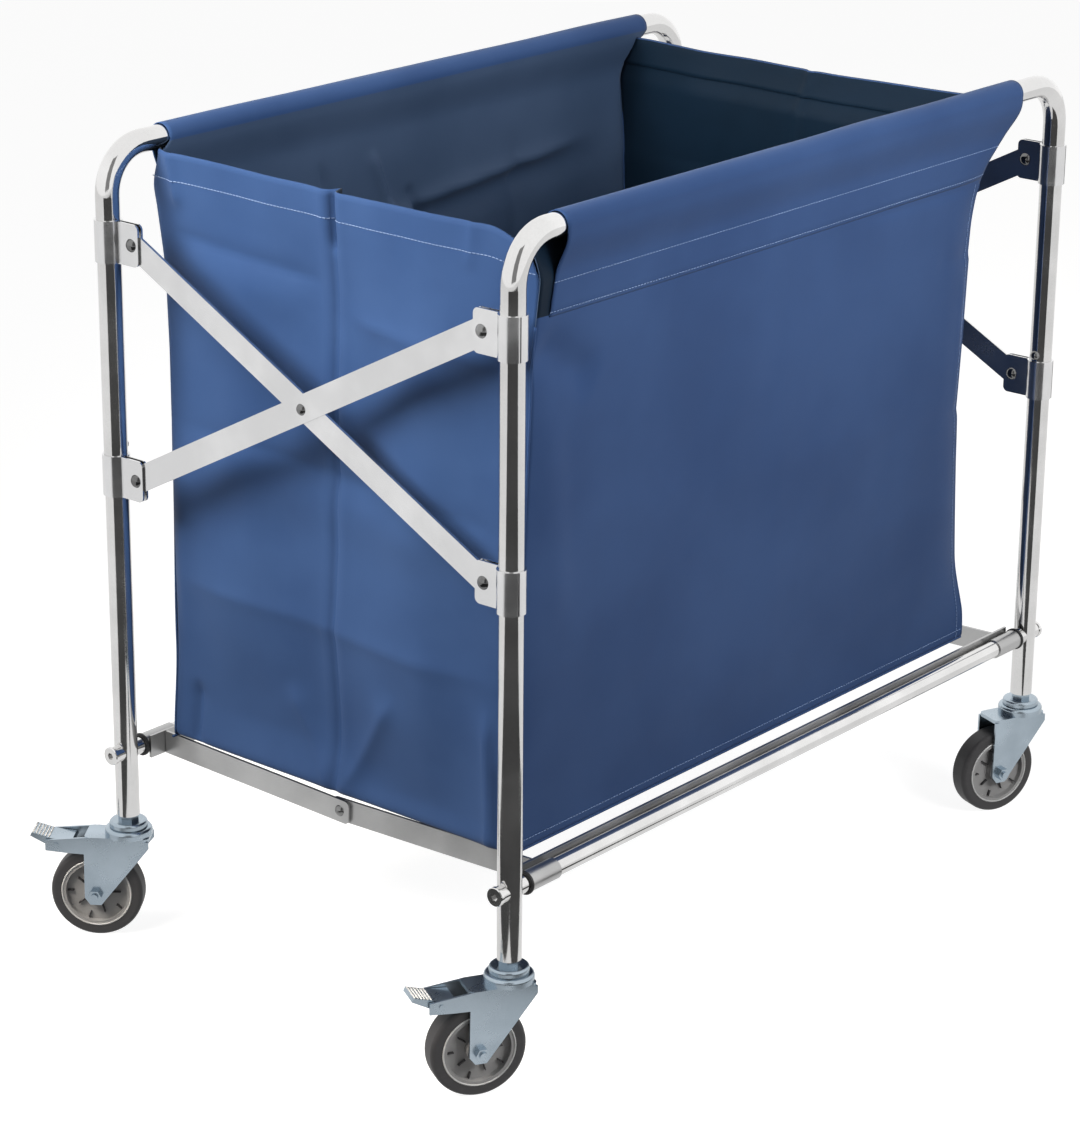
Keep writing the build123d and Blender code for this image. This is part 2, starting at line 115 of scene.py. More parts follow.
@dataclass(frozen=True)
class Signal:
    """A node's output, so that shader maths reads as plain arithmetic."""

    graph: "Graph"
    socket: bpy.types.NodeSocket

    def _math(self, operation: str, other: "Signal | float", swap: bool = False) -> "Signal":
        """Adds one Math node.

        Args:
            operation: Blender's name for it.
            other: the second value.
            swap: whether the two values change places.

        Returns:
            The node's result.
        """
        pair = (other, self) if swap else (self, other)
        return self.graph.node("ShaderNodeMath", {"operation": operation}, {0: pair[0], 1: pair[1]})

    def __add__(self, other: "Signal | float") -> "Signal":
        """Sum."""
        return self._math("ADD", other)

    __radd__ = __add__

    def __mul__(self, other: "Signal | float") -> "Signal":
        """Product."""
        return self._math("MULTIPLY", other)

    __rmul__ = __mul__

    def __sub__(self, other: "Signal | float") -> "Signal":
        """Difference."""
        return self._math("SUBTRACT", other)

    def __rsub__(self, other: "Signal | float") -> "Signal":
        """Difference with the number first."""
        return self._math("SUBTRACT", other, swap=True)

    def __truediv__(self, other: "Signal | float") -> "Signal":
        """Quotient."""
        return self._math("DIVIDE", other)

    def __rtruediv__(self, other: "Signal | float") -> "Signal":
        """Quotient with the number first."""
        return self._math("DIVIDE", other, swap=True)

    def sine(self) -> "Signal":
        """Sine of the value in radians."""
        return self._math("SINE", 0.0)

    def ramp(self, low: float, high: float) -> "Signal":
        """Rises smoothly from 0 to 1.

        Args:
            low: where it starts.
            high: where it ends.

        Returns:
            The smooth step.
        """
        settings = {"interpolation_type": "SMOOTHSTEP"}
        sockets = {"Value": self, "From Min": low, "From Max": high}
        return self.graph.node("ShaderNodeMapRange", settings, sockets)


class Graph:
    """A material's node tree with a principled surface."""

    def __init__(self, name: str) -> None:
        """Makes the material.

        Args:
            name: the material's name.
        """
        self.material = bpy.data.materials.new(name)
        self.material.use_nodes = True
        self.tree = self.material.node_tree
        self.tree.nodes.clear()
        self.surface = self.tree.nodes.new("ShaderNodeBsdfPrincipled")
        output = self.tree.nodes.new("ShaderNodeOutputMaterial")
        self.tree.links.new(self.surface.outputs[0], output.inputs["Surface"])

    def node(
        self, kind: str, settings: dict[str, object], sockets: dict[int | str, object], out: int | str = 0
    ) -> Signal:
        """Adds any node.

        Args:
            kind: the node's type.
            settings: its properties, set first.
            sockets: values or signals by input.
            out: the output to return.

        Returns:
            The chosen output.
        """
        made = self.tree.nodes.new(kind)
        for key, value in settings.items():
            setattr(made, key, value)
        for key, value in sockets.items():
            if isinstance(value, Signal):
                self.tree.links.new(value.socket, made.inputs[key])
            else:
                made.inputs[key].default_value = value
        return Signal(self, made.outputs[out])

    def place(self, scale: Sequence[float] = (1.0, 1.0, 1.0)) -> Signal:
        """The point on the piece, in metres, stretched by scale.

        Args:
            scale: factor along each axis.

        Returns:
            The stretched point.
        """
        point = self.node("ShaderNodeTexCoord", {}, {}, "Object")
        return self.node("ShaderNodeMapping", {}, {"Vector": point, "Scale": tuple(scale)})

    def grain(self, point: Signal, scale: float, detail: float = 3.0, rough: float = 0.5) -> Signal:
        """Soft noise from 0 to 1.

        Args:
            point: where it is read.
            scale: how fine it is.
            detail: octaves.
            rough: strength of the finer octaves.

        Returns:
            The noise.
        """
        sockets = {"Vector": point, "Scale": scale, "Detail": detail, "Roughness": rough}
        return self.node("ShaderNodeTexNoise", {}, sockets, 0)

    def tint(self, share: Signal, low: Sequence[float], high: Sequence[float]) -> Signal:
        """A colour between two.

        Args:
            share: 0 for low, 1 for high.
            low: first colour.
            high: second colour.

        Returns:
            The mixed colour.
        """
        made = self.tree.nodes.new("ShaderNodeMix")
        made.data_type = "RGBA"
        self.tree.links.new(share.socket, made.inputs[0])
        made.inputs[6].default_value = (*low, 1.0)
        made.inputs[7].default_value = (*high, 1.0)
        return Signal(self, made.outputs[2])

    def axes(self, point: Signal) -> tuple[Signal, Signal, Signal]:
        """The three coordinates of a point."""
        made = self.tree.nodes.new("ShaderNodeSeparateXYZ")
        self.tree.links.new(point.socket, made.inputs[0])
        return Signal(self, made.outputs[0]), Signal(self, made.outputs[1]), Signal(self, made.outputs[2])

    def bump(self, height: Signal, distance: float, strength: float = 1.0) -> Signal:
        """Surface relief.

        Args:
            height: relief from 0 to 1.
            distance: its depth in metres.
            strength: share of it that shows.

        Returns:
            The bent normal.
        """
        sockets = {"Height": height, "Distance": distance, "Strength": strength}
        return self.node("ShaderNodeBump", {}, sockets)

    def finish(self, varying: dict[str, Signal], fixed: dict[str, object]) -> bpy.types.Material:
        """Feeds the surface.

        Args:
            varying: signals by surface input.
            fixed: constants by surface input.

        Returns:
            The finished material.
        """
        for key, value in fixed.items():
            self.surface.inputs[key].default_value = value
        for key, signal in varying.items():
            self.tree.links.new(signal.socket, self.surface.inputs[key])
        return self.material


# -------------------------------------------------------------------- finishes


@dataclass(frozen=True)
class MetalFinish:
    """Bare or plated metal: two tones, fine grain, and handling marks."""

    name: str
    low: tuple[float, float, float]
    high: tuple[float, float, float]
    rough: tuple[float, float]
    grain_scale: tuple[float, float, float] = (40.0, 40.0, 40.0)
    grain_depth: float = 0.00002

    def material(self) -> bpy.types.Material:
        """Builds the finish.

        Returns:
            The material.
        """
        g = Graph(self.name)
        streaks = g.grain(g.place(self.grain_scale), 12.0, 4.0, 0.6)
        cloud = g.grain(g.place(), 14.0, 3.0)
        scratches = g.grain(g.place((300.0, 300.0, 300.0)), 4.0, 2.0, 0.7)
        worn = cloud.ramp(0.35, 0.75)
        rough = worn * (self.rough[1] - self.rough[0]) + self.rough[0] + (streaks - 0.5) * 0.08
        return g.finish(
            {
                "Base Color": g.tint(worn * 0.6 + streaks * 0.4, self.low, self.high),
                "Roughness": rough,
                "Normal": g.bump(streaks * 0.6 + scratches * 0.4, self.grain_depth, 0.35),
            },
            {"Metallic": 1.0},
        )


@dataclass(frozen=True)
class MouldedFinish:
    """Moulded plastic or rubber: matt, faintly mottled, scuffed by the floor."""

    name: str
    low: tuple[float, float, float]
    high: tuple[float, float, float]
    rough: tuple[float, float]
    mottle: float = 60.0
    pit_depth: float = 0.00015

    def material(self) -> bpy.types.Material:
        """Builds the finish.

        Returns:
            The material.
        """
        g = Graph(self.name)
        mottle = g.grain(g.place(), self.mottle, 4.0, 0.6)
        pits = g.grain(g.place(), 900.0, 2.0, 0.6)
        scuff = g.grain(g.place((1.0, 1.0, 3.0)), 35.0, 5.0, 0.7).ramp(0.5, 0.75)
        rough = mottle * (self.rough[1] - self.rough[0]) + self.rough[0]
        return g.finish(
            {
                "Base Color": g.tint(mottle * 0.6 + scuff * 0.4, self.low, self.high),
                "Roughness": rough,
                "Normal": g.bump(pits, self.pit_depth, 0.4),
            },
            {},
        )


@dataclass(frozen=True)
class ClothFinish:
    """Coated woven cloth: a fine plain weave under a thin coating, with cloudy wear."""

    name: str
    low: tuple[float, float, float]
    high: tuple[float, float, float]
    thread_pitch: float = 0.0011
    sheen: float = 0.02

    def material(self) -> bpy.types.Material:
        """Builds the finish.

        Returns:
            The material.
        """
        g = Graph(self.name)
        x, y, z = g.axes(g.place())
        turn = 2 * math.pi / self.thread_pitch
        weave = ((x + y) * turn).sine() * (z * turn).sine()
        floor_weave = (x * turn).sine() * (y * turn).sine()
        threads = (weave + floor_weave) * 0.25 + 0.5
        cloud = g.grain(g.place(), 5.0, 4.0, 0.55)
        rub = g.grain(g.place((1.0, 1.0, 2.0)), 26.0, 5.0, 0.65)
        fibre = g.grain(g.place(), 700.0, 2.0, 0.6)
        shade = cloud.ramp(0.3, 0.7) * 0.55 + rub * 0.25 + threads * 0.2
        return g.finish(
            {
                "Base Color": g.tint(shade, self.low, self.high),
                "Roughness": rub * 0.14 + 0.5 + (fibre - 0.5) * 0.1,
                "Normal": g.bump(threads * 0.7 + fibre * 0.3, 0.00012, 0.35),
            },
            {"Sheen Weight": self.sheen, "Sheen Roughness": 0.4, "Specular IOR Level": 0.14},
        )


class Finishes:
    """Every finish of the trolley, built once."""

    def __init__(self) -> None:
        """Builds the materials."""
        self.tube = MetalFinish(
            "polished_tube", (0.66, 0.655, 0.65), (0.84, 0.835, 0.83), (0.07, 0.15), (30.0, 30.0, 30.0)
        ).material()
        self.strip = MetalFinish(
            "satin_strip", (0.7, 0.7, 0.705), (0.88, 0.88, 0.885), (0.16, 0.28), (160.0, 18.0, 90.0), 0.00003
        ).material()
        self.arm = MetalFinish(
            "brushed_arm", (0.4, 0.4, 0.4), (0.58, 0.58, 0.575), (0.3, 0.45), (160.0, 12.0, 140.0), 0.00004
        ).material()
        self.rivet = MetalFinish("rivet_steel", (0.1, 0.1, 0.1), (0.36, 0.36, 0.36), (0.12, 0.24)).material()
        self.zinc = MetalFinish(
            "zinc_plate", (0.3, 0.36, 0.41), (0.5, 0.58, 0.65), (0.2, 0.34), (60.0, 60.0, 60.0), 0.00004
        ).material()
        self.wheel = MouldedFinish(
            "wheel_grey", (0.3, 0.295, 0.295), (0.42, 0.415, 0.41), (0.4, 0.6)
        ).material()
        # Pale grey: on the wheels' real raised rim lips it is a painted highlight; the pedal treads use it
        # too.
        self.wheel_lip = MouldedFinish(
            "wheel_lip", (0.62, 0.62, 0.61), (0.8, 0.8, 0.79), (0.3, 0.5)
        ).material()
        self.tyre = MouldedFinish(
            "tyre_rubber", (0.024, 0.023, 0.024), (0.055, 0.052, 0.055), (0.42, 0.65)
        ).material()
        self.black = MouldedFinish(
            "black_ring", (0.008, 0.008, 0.009), (0.02, 0.02, 0.022), (0.35, 0.55)
        ).material()
        self.cloth = ClothFinish("bag_cloth", (0.017, 0.042, 0.118), (0.030, 0.066, 0.168)).material()
        self.lining = ClothFinish("bag_lining", (0.026, 0.046, 0.088), (0.042, 0.068, 0.124)).material()
        # Near-black painted shade: the inside of the sleeves, the inside of the ends and floor, and the
        # turned-in hems get this instead of the lining, to stand for the shade in them.
        self.painted_shade_lining = ClothFinish(
            "bag_dark_lining", (0.002, 0.007, 0.015), (0.004, 0.012, 0.026)
        ).material()
        self.thread = ClothFinish("bag_thread", (0.13, 0.19, 0.34), (0.2, 0.28, 0.45), 0.0004).material()


# ------------------------------------------------------------------- mesh kit


def smooth_step(value: np.ndarray) -> np.ndarray:
    """Eases 0 to 1.

    Args:
        value: any numbers.

    Returns:
        The eased numbers, held from 0 to 1.
    """
    held = np.clip(value, 0.0, 1.0)
    return held * held * (3.0 - 2.0 * held)


def piece(
    name: str, points: np.ndarray, faces: list[Face], *finishes: bpy.types.Material
) -> bpy.types.Object:
    """Makes one smooth-shaded mesh object.

    Args:
        name: its name.
        points: vertices, one row each.
        faces: vertex indices of each face.
        finishes: its materials.

    Returns:
        The object, at the origin.
    """
    mesh = bpy.data.meshes.new(name)
    mesh.from_pydata([tuple(map(float, p)) for p in points], [], faces)
    mesh.validate()
    for finish in finishes:
        mesh.materials.append(finish)
    mesh.polygons.foreach_set("use_smooth", [True] * len(mesh.polygons))
    made = bpy.data.objects.new(name, mesh)
    bpy.context.scene.collection.objects.link(made)
    return made


def settle(made: bpy.types.Object) -> bpy.types.Object:
    """Turns an object's modifiers into plain mesh.

    Args:
        made: the object.

    Returns:
        The same object, with no modifier left.
    """
    bpy.context.view_layer.update()
    graph = bpy.context.evaluated_depsgraph_get()
    plain = bpy.data.meshes.new_from_object(made.evaluated_get(graph))
    plain.name = made.name
    made.modifiers.clear()
    made.data = plain
    return made


def grid_faces(rows: int, columns: int, flip: bool = False) -> list[Face]:
    """Quads of a grid of points.

    Args:
        rows: points one way.
        columns: points the other way.
        flip: whether the faces look the other way.

    Returns:
        The faces.
    """
    faces = []
    for r in range(rows - 1):
        for c in range(columns - 1):
            a = r * columns + c
            quad = (a, a + 1, a + columns + 1, a + columns)
            faces.append(quad[::-1] if flip else quad)
    return faces


def tube_mesh(path: np.ndarray, radius: float, sides: int = 8) -> Shape:
    """A round bead along a path, closed at both ends.

    Args:
        path: points of its centreline.
        radius: its radius.
        sides: facets round it.

    Returns:
        Points and faces.
    """
    tangent = np.gradient(path, axis=0)
    tangent /= np.linalg.norm(tangent, axis=1, keepdims=True)
    helper = np.array([0.0, 0.0, 1.0]) if abs(tangent[0][2]) < 0.8 else np.array([1.0, 0.0, 0.0])
    across = np.cross(tangent, helper)
    across /= np.linalg.norm(across, axis=1, keepdims=True)
    upward = np.cross(across, tangent)
    turn = np.linspace(0, 2 * math.pi, sides, endpoint=False)
    rings = (
        path[:, None, :]
        + radius * np.cos(turn)[None, :, None] * across[:, None, :]
        + radius * np.sin(turn)[None, :, None] * upward[:, None, :]
    )
    count = len(path)
    faces = []
    for r in range(count - 1):
        for s in range(sides):
            n = (s + 1) % sides
            faces.append((r * sides + s, r * sides + n, (r + 1) * sides + n, (r + 1) * sides + s))
    faces.append(tuple(range(sides - 1, -1, -1)))
    faces.append(tuple((count - 1) * sides + s for s in range(sides)))
    return rings.reshape(-1, 3), faces


def joined(parts: Sequence[Shape]) -> Shape:
    """Several meshes as one.

    Args:
        parts: points and faces of each.

    Returns:
        All points and faces.
    """
    points, faces, start = [], [], 0
    for some_points, some_faces in parts:
        points.append(some_points)
        faces.extend(tuple(start + i for i in face) for face in some_faces)
        start += len(some_points)
    return np.concatenate(points), faces


def lathe(
    profile: Sequence[tuple[float, float]], centre: Vector, axis: Vector, sides: int = 48
) -> Shape:
    """Turns a closed (radius, along) outline round an axis.

    Args:
        profile: outline points.
        centre: a point on the axis.
        axis: its direction.
        sides: facets round it.

    Returns:
        Points and faces.
    """
    along = np.array(axis.normalized())
    first = np.array(axis.orthogonal().normalized())
    second = np.cross(along, first)
    points, faces, count = [], [], len(profile)
    for s in range(sides):
        turn = 2 * math.pi * s / sides
        radial = math.cos(turn) * first + math.sin(turn) * second
        points.extend(np.array(centre) + r * radial + a * along for r, a in profile)
        n = (s + 1) % sides
        for i in range(count):
            j = (i + 1) % count
            faces.append((s * count + i, s * count + j, n * count + j, n * count + i))
    return np.array(points), faces


class StitchTree:
    """A geometry node tree that sews short stitches along a line of edges."""

    def __init__(self, finish: bpy.types.Material) -> None:
        """Builds the tree.

        Args:
            finish: the thread's material.
        """
        self.tree = bpy.data.node_groups.new("stitch_run", "GeometryNodeTree")
        face = self.tree.interface
        face.new_socket("Line", in_out="INPUT", socket_type="NodeSocketGeometry")
        number = {"in_out": "INPUT", "socket_type": "NodeSocketFloat"}
        self.pitch = face.new_socket("Pitch", **number).identifier
        self.length = face.new_socket("Stitch Length", **number).identifier
        self.radius = face.new_socket("Thread Radius", **number).identifier
        face.new_socket("Stitches", in_out="OUTPUT", socket_type="NodeSocketGeometry")
        add, link = self.tree.nodes.new, self.tree.links.new
        given, result = add("NodeGroupInput"), add("NodeGroupOutput")
        curve, spaced = add("GeometryNodeMeshToCurve"), add("GeometryNodeResampleCurve")
        spaced.mode = "LENGTH"
        stitch, placed = add("GeometryNodeMeshCylinder"), add("GeometryNodeInstanceOnPoints")
        stitch.inputs["Vertices"].default_value = 5
        tangent, turned = add("GeometryNodeInputTangent"), add("FunctionNodeAlignRotationToVector")
        turned.axis = "Z"
        real, dressed = add("GeometryNodeRealizeInstances"), add("GeometryNodeSetMaterial")
        dressed.inputs["Material"].default_value = finish
        link(given.outputs["Line"], curve.inputs["Mesh"])
        link(curve.outputs["Curve"], spaced.inputs["Curve"])
        link(given.outputs["Pitch"], spaced.inputs["Length"])
        link(given.outputs["Stitch Length"], stitch.inputs["Depth"])
        link(given.outputs["Thread Radius"], stitch.inputs["Radius"])
        link(spaced.outputs["Curve"], placed.inputs["Points"])
        link(stitch.outputs["Mesh"], placed.inputs["Instance"])
        link(tangent.outputs["Tangent"], turned.inputs["Vector"])
        link(turned.outputs["Rotation"], placed.inputs["Rotation"])
        link(placed.outputs["Instances"], real.inputs["Geometry"])
        link(real.outputs["Geometry"], dressed.inputs["Geometry"])
        link(dressed.outputs["Geometry"], result.inputs["Stitches"])

    def sew(self, name: str, lines: Sequence[np.ndarray], pitch: float = 0.0046) -> bpy.types.Object:
        """Sews along some lines.

        Args:
            name: the object's name.
            lines: points of each line.
            pitch: distance from stitch to stitch.

        Returns:
            The stitches as one plain mesh.
        """
        points, edges, start = [], [], 0
        for line in lines:
            points.extend(tuple(map(float, p)) for p in line)
            edges.extend((start + i, start + i + 1) for i in range(len(line) - 1))
            start += len(line)
        mesh = bpy.data.meshes.new(name)
        mesh.from_pydata(points, edges, [])
        made = bpy.data.objects.new(name, mesh)
        bpy.context.scene.collection.objects.link(made)
        modifier = made.modifiers.new("stitches", "NODES")
        modifier.node_group = self.tree
        modifier[self.pitch] = pitch
        modifier[self.length] = pitch * 0.72
        modifier[self.radius] = 0.0005
        return settle(made)


# ------------------------------------------------------------------------ cloth


@dataclass(frozen=True)
class Crease:
    """One fold line in a panel, between two points of the panel's own plane."""

    start: tuple[float, float]
    end: tuple[float, float]
    height: float
    width: float
    sharp: bool = True
    fade: float = 0.25

    def lift(self, a: np.ndarray, b: np.ndarray) -> np.ndarray:
        """How far the crease raises the cloth.

        Args:
            a: first plane coordinate.
            b: second plane coordinate.

        Returns:
            The rise at each point.
        """
        run = (self.end[0] - self.start[0], self.end[1] - self.start[1])
        length = math.hypot(*run)
        along = ((a - self.start[0]) * run[0] + (b - self.start[1]) * run[1]) / length**2
        off = ((a - self.start[0]) * run[1] - (b - self.start[1]) * run[0]) / length
        ends = smooth_step((along + 0.02) / self.fade) * smooth_step((1.02 - along) / self.fade)
        if self.sharp:
            body = np.exp(-(np.sqrt(off**2 + (0.15 * self.width) ** 2) - 0.15 * self.width) / self.width)
        else:
            body = np.exp(-((off / self.width) ** 2))
        return self.height * ends * body


def undulation(a: np.ndarray, b: np.ndarray, pitch: float, seed: float) -> np.ndarray:
    """Gentle uneven waves.

    Args:
        a: first plane coordinate.
        b: second plane coordinate.
        pitch: size of a wave in metres.
        seed: which waves.

    Returns:
        Numbers about from -1 to 1.
    """
    flat = [noise.noise(Vector((u / pitch, v / pitch, seed))) for u, v in zip(a.ravel(), b.ravel())]
    return np.array(flat).reshape(a.shape)


def wall_y(z: np.ndarray) -> np.ndarray:
    """Distance of a long wall's cloth from the middle, at height z."""
    return WALL_FOOT_Y + (LEG_Y - WALL_FOOT_Y) * (z - WALL_FOOT_Z) / (HEM_Z - WALL_FOOT_Z)


def inner_y(z: np.ndarray) -> np.ndarray:
    """Distance of a long wall's inner layer from the middle, from its foot up to the rail's side."""
    lean = smooth_step((np.asarray(z) - HEM_Z) / (RAIL_SIDE_Z - HEM_Z) * 1.05)
    return wall_y(np.minimum(z, HEM_Z)) - 0.0007 - lean * (SLEEVE_R - 0.0007)


@dataclass(frozen=True)
class CornerLine:
    """A vertical sewn corner of the bag: X at some heights, lowest first."""

    heights: tuple[float, ...]
    places: tuple[float, ...]
    tuck: float

    def x(self, z: np.ndarray) -> np.ndarray:
        """X of the corner at height z."""
        return np.interp(z, self.heights, self.places)

    def inset(self, z: np.ndarray) -> np.ndarray:
        """How far the wall curls in at the corner, at height z."""
        return self.tuck * smooth_step((z - 0.23) / 0.1) * smooth_step((0.84 - z) / 0.12)


CORNERS: dict[tuple[Side, End], CornerLine] = {
    (Side.NEAR, End.LEFT): CornerLine(
        heights=(0.226, 0.25, 0.4, 0.7, 0.857),
        places=(-0.4285, -0.4255, -0.4262, -0.4245, -0.4245),
        tuck=0.004,
    ),
    (Side.FAR, End.LEFT): CornerLine(
        heights=(0.226, 0.4, 0.543, 0.65, 0.734, 0.80, 0.857),
        places=(-0.4225, -0.411, -0.403, -0.396, -0.3935, -0.3965, -0.4035),
        tuck=0.006,
    ),
    (Side.NEAR, End.RIGHT): CornerLine(
        heights=(0.229, 0.26, 0.337, 0.45, 0.502, 0.512, 0.6, 0.685, 0.693, 0.76, 0.81, 0.843, 0.857),
        places=(
            0.3785, 0.3775, 0.364, 0.346, 0.3395, 0.336, 0.3355, 0.3345, 0.3315, 0.3315, 0.3385, 0.372, 0.379
        ),
        tuck=0.012,
    ),
    (Side.FAR, End.RIGHT): CornerLine(
        heights=(0.229, 0.26, 0.4, 0.55, 0.72, 0.81, 0.857),
        places=(0.3785, 0.377, 0.362, 0.354, 0.352, 0.362, 0.379),
        tuck=0.01,
    ),
}


@dataclass(frozen=True)
class LongPanel:
    """One long wall of the bag, with the open sleeve that the top rail runs through."""

    side: Side
    creases: tuple[Crease, ...]
    columns: int = 150
    sleeve_x: tuple[float, float] = (-0.403, 0.383)
    flap_left_x: float = -0.409

    @property
    def name(self) -> str:
        """The side's word, as the body and node names have it."""
        return self.side.name.lower()

    def profile(self) -> tuple[np.ndarray, np.ndarray, np.ndarray]:
        """The cut through the wall: up the inside, over the rail, and down to the flap's edge.

        Returns:
            Outward distance from the rail's axis, height, and each point's layer: 0 for wall, 3 for its
            top, 1 for sleeve, 2 for flap.
        """
        z_wall = np.concatenate([
            np.linspace(WALL_LOW_Z, CORNER_TOP_Z - 0.004, 108), [CORNER_TOP_Z], np.linspace(0.781, HEM_Z, 8)
        ])
        o_wall = wall_y(z_wall) - LEG_Y - 0.0007
        lean = np.linspace(0, 1, 12)[1:-1]
        z_in = HEM_Z + lean * (RAIL_SIDE_Z - HEM_Z)
        o_in = inner_y(z_in) - LEG_Y
        turn = np.radians(np.linspace(190, -10, 26))
        z_over = RAIL_TOP_Z + SLEEVE_R * np.sin(turn)
        o_over = SLEEVE_R * np.cos(turn)
        z_out = z_in[::-1]
        o_out = 0.0009 + smooth_step(lean[::-1] * 1.05) * (SLEEVE_R - 0.0009)
        z_flap = np.linspace(HEM_Z, FLAP_END_Z, 17)
        pressed = smooth_step((0.7875 - z_flap) / 0.008)
        o_flap = wall_y(z_flap) - LEG_Y + 0.0010 - 0.0011 * pressed
        parts = [
            (o_wall, z_wall, 0), (o_in, z_in, 3), (o_over, z_over, 1), (o_out, z_out, 1), (o_flap, z_flap, 2)
        ]
        o = np.concatenate([p[0] for p in parts])
        z = np.concatenate([p[1] for p in parts])
        kind = np.concatenate([np.full(len(p[0]), p[2]) for p in parts])
        return o, z, kind

    def span(self, z: float, kind: int) -> tuple[float, float]:
        """Left and right X of one row of the cloth.

        Args:
            z: the row's height.
            kind: 0 for wall, 1 for sleeve, 2 for flap.

        Returns:
            Both X.
        """
        left, right = CORNERS[(self.side, End.LEFT)], CORNERS[(self.side, End.RIGHT)]
        sewn = (float(left.x(z)) - 0.0008, float(right.x(z)) + 0.0008)
        if kind == 0:
            return sewn
        share = float(smooth_step((z - FLAP_END_Z) / 0.075))
        x_left = self.flap_left_x + share * (self.sleeve_x[0] - self.flap_left_x)
        x_right = float(right.x(FLAP_END_Z)) + share * (self.sleeve_x[1] - float(right.x(FLAP_END_Z)))
        if kind == 3:
            rise = float(smooth_step((z - 0.852) / 0.012))
            return sewn[0] + rise * (x_left - sewn[0]), sewn[1] + rise * (x_right - sewn[1])
        return x_left, x_right

    def curl(self, x: np.ndarray, z: np.ndarray) -> np.ndarray:
        """How far the wall's ends turn inwards.

        Args:
            x: along the wall.
            z: up the wall.

        Returns:
            Inward distance.
        """
        total = np.zeros_like(x)
        for end, reach in ((End.LEFT, 0.03), (End.RIGHT, 0.06)):
            line = CORNERS[(self.side, end)]
            near_edge = 1 - end.value * (line.x(z) - x) / reach
            total += line.inset(z) * np.clip(near_edge, 0, 1) ** 2.2
        return total

    def relief(self, x: np.ndarray, z: np.ndarray) -> np.ndarray:
        """Outward swell of the wall's cloth: slack, waves and creases.

        Args:
            x: along the wall.
            z: up the wall.

        Returns:
            Outward distance.
        """
        seed = 3.0 + self.side.value
        middle = smooth_step((HEM_Z + 0.02 - z) / 0.12) * smooth_step((z - 0.228) / 0.08)
        swell = undulation(x, z, 0.23, seed) * 0.0045 + undulation(x, z * 0.6, 0.07, seed + 5) * 0.0011
        folds = sum((c.lift(x, z) for c in self.creases), np.zeros_like(x))
        return middle * swell + folds * smooth_step((z - 0.226) / 0.02)

    def rows(self) -> tuple[np.ndarray, np.ndarray]:
        """All points of the cloth's middle layer.

        Returns:
            Points by row and column, and each row's kind.
        """
        o, z, kind = self.profile()
        spans = np.array([self.span(float(h), int(k)) for h, k in zip(z, kind)])
        share = np.linspace(0, 1, self.columns)
        x = spans[:, :1] + (spans[:, 1:] - spans[:, :1]) * share
        height = np.repeat(z[:, None], self.columns, 1)
        out = np.repeat(o[:, None], self.columns, 1)
        on_wall = smooth_step((HEM_Z + 0.02 - height) / 0.04)
        wall = on_wall * (self.relief(x, height) - self.curl(x, height))
        kinds = np.repeat(kind[:, None], self.columns, 1)
        out = out + np.where(kinds == 1, 0.0, wall)
        ripple = undulation(x, height, 0.16, 21.0 + self.side.value) * 0.0012
        out = out + np.where(kinds == 1, np.abs(ripple) * np.sign(out), 0.0)
        sag = undulation(x, height * 0, 0.2, 31.0 + self.side.value) * 0.0014
        height = height + np.where(kinds == 1, np.clip(sag, 0, 1) * (height > RAIL_TOP_Z), 0.0)
        y = self.side.value * (LEG_Y + out)
        return np.stack([x, y, height], -1), kind

    def build(self, finishes: Finishes) -> bpy.types.Object:
        """Makes the wall's cloth.

        Args:
            finishes: the trolley's materials.

        Returns:
            The cloth, riding on its side frame.
        """
        points, kind = self.rows()
        rows, columns = points.shape[:2]
        faces = grid_faces(rows, columns, flip=self.side is Side.FAR)
        f = finishes
        # Finish pairs by index: 0/1 outside cloth and inside lining of the wall; 2/3 painted shade inside the
        # sleeve and flap, cloth outside; 4/5 painted shade on the inner layer's face inside the sleeve,
        # lining towards the bag.
        layers = (f.cloth, f.lining, f.painted_shade_lining, f.cloth, f.painted_shade_lining, f.lining)
        cloth = piece(f"bag_{self.name}_wall", points.reshape(-1, 3), faces, *layers)
        height = points[:-1, 0, 2]
        # Rows of the inner layer, and of the wall above the flap's end: their outward face, inside the
        # sleeve, gets painted shade.
        sleeve_shade_rows = (kind[:-1] == 3) | ((kind[:-1] == 0) & (height >= FLAP_END_Z + 0.002))
        per_row = np.repeat(np.where(sleeve_shade_rows, 4, np.where(kind[:-1] == 0, 0, 2)), columns - 1)
        cloth.data.polygons.foreach_set("material_index", per_row.astype(np.int32))
        thicken(cloth, rim=1)
        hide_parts(f"bag_{self.name}_panel")
        f"{self.name}_side_tube"
        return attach(cloth, f"{self.name}_frame")

    def outer_line(self, z_at: float, kind: int, x_low: float, x_high: float, lift: float) -> np.ndarray:
        """A line along the outside of the wall or flap.

        Args:
            z_at: its height.
            kind: 0 on the wall, 2 on the flap.
            x_low: where it starts.
            x_high: where it ends.
            lift: distance of the line from the cloth's middle layer.

        Returns:
            The line's points.
        """
        points, kinds = self.rows()
        some = points[kinds == kind]
        row = some[int(np.argmin(np.abs(some[:, 0, 2] - z_at)))]
        x = np.linspace(x_low, x_high, 160)
        y = np.interp(x, row[:, 0], row[:, 1]) + self.side.value * lift
        z = np.interp(x, row[:, 0], row[:, 2])
        return np.stack([x, y, z], -1)

    def corner_path(self, end: End, inward: float, lift: float) -> np.ndarray:
        """A line down one sewn corner of the wall.

        Args:
            end: which corner.
            inward: distance from the corner along the wall.
            lift: distance of the line from the cloth's middle layer.

        Returns:
            The line's points.
        """
        z = np.linspace(0.229, CORNER_TOP_Z - 0.003, 120)
        x = CORNERS[(self.side, end)].x(z) - end.value * inward
        out = wall_y(z) - 0.0007 + lift + self.relief(x, z) - self.curl(x, z)
        return np.stack([x, self.side.value * out, z], -1)

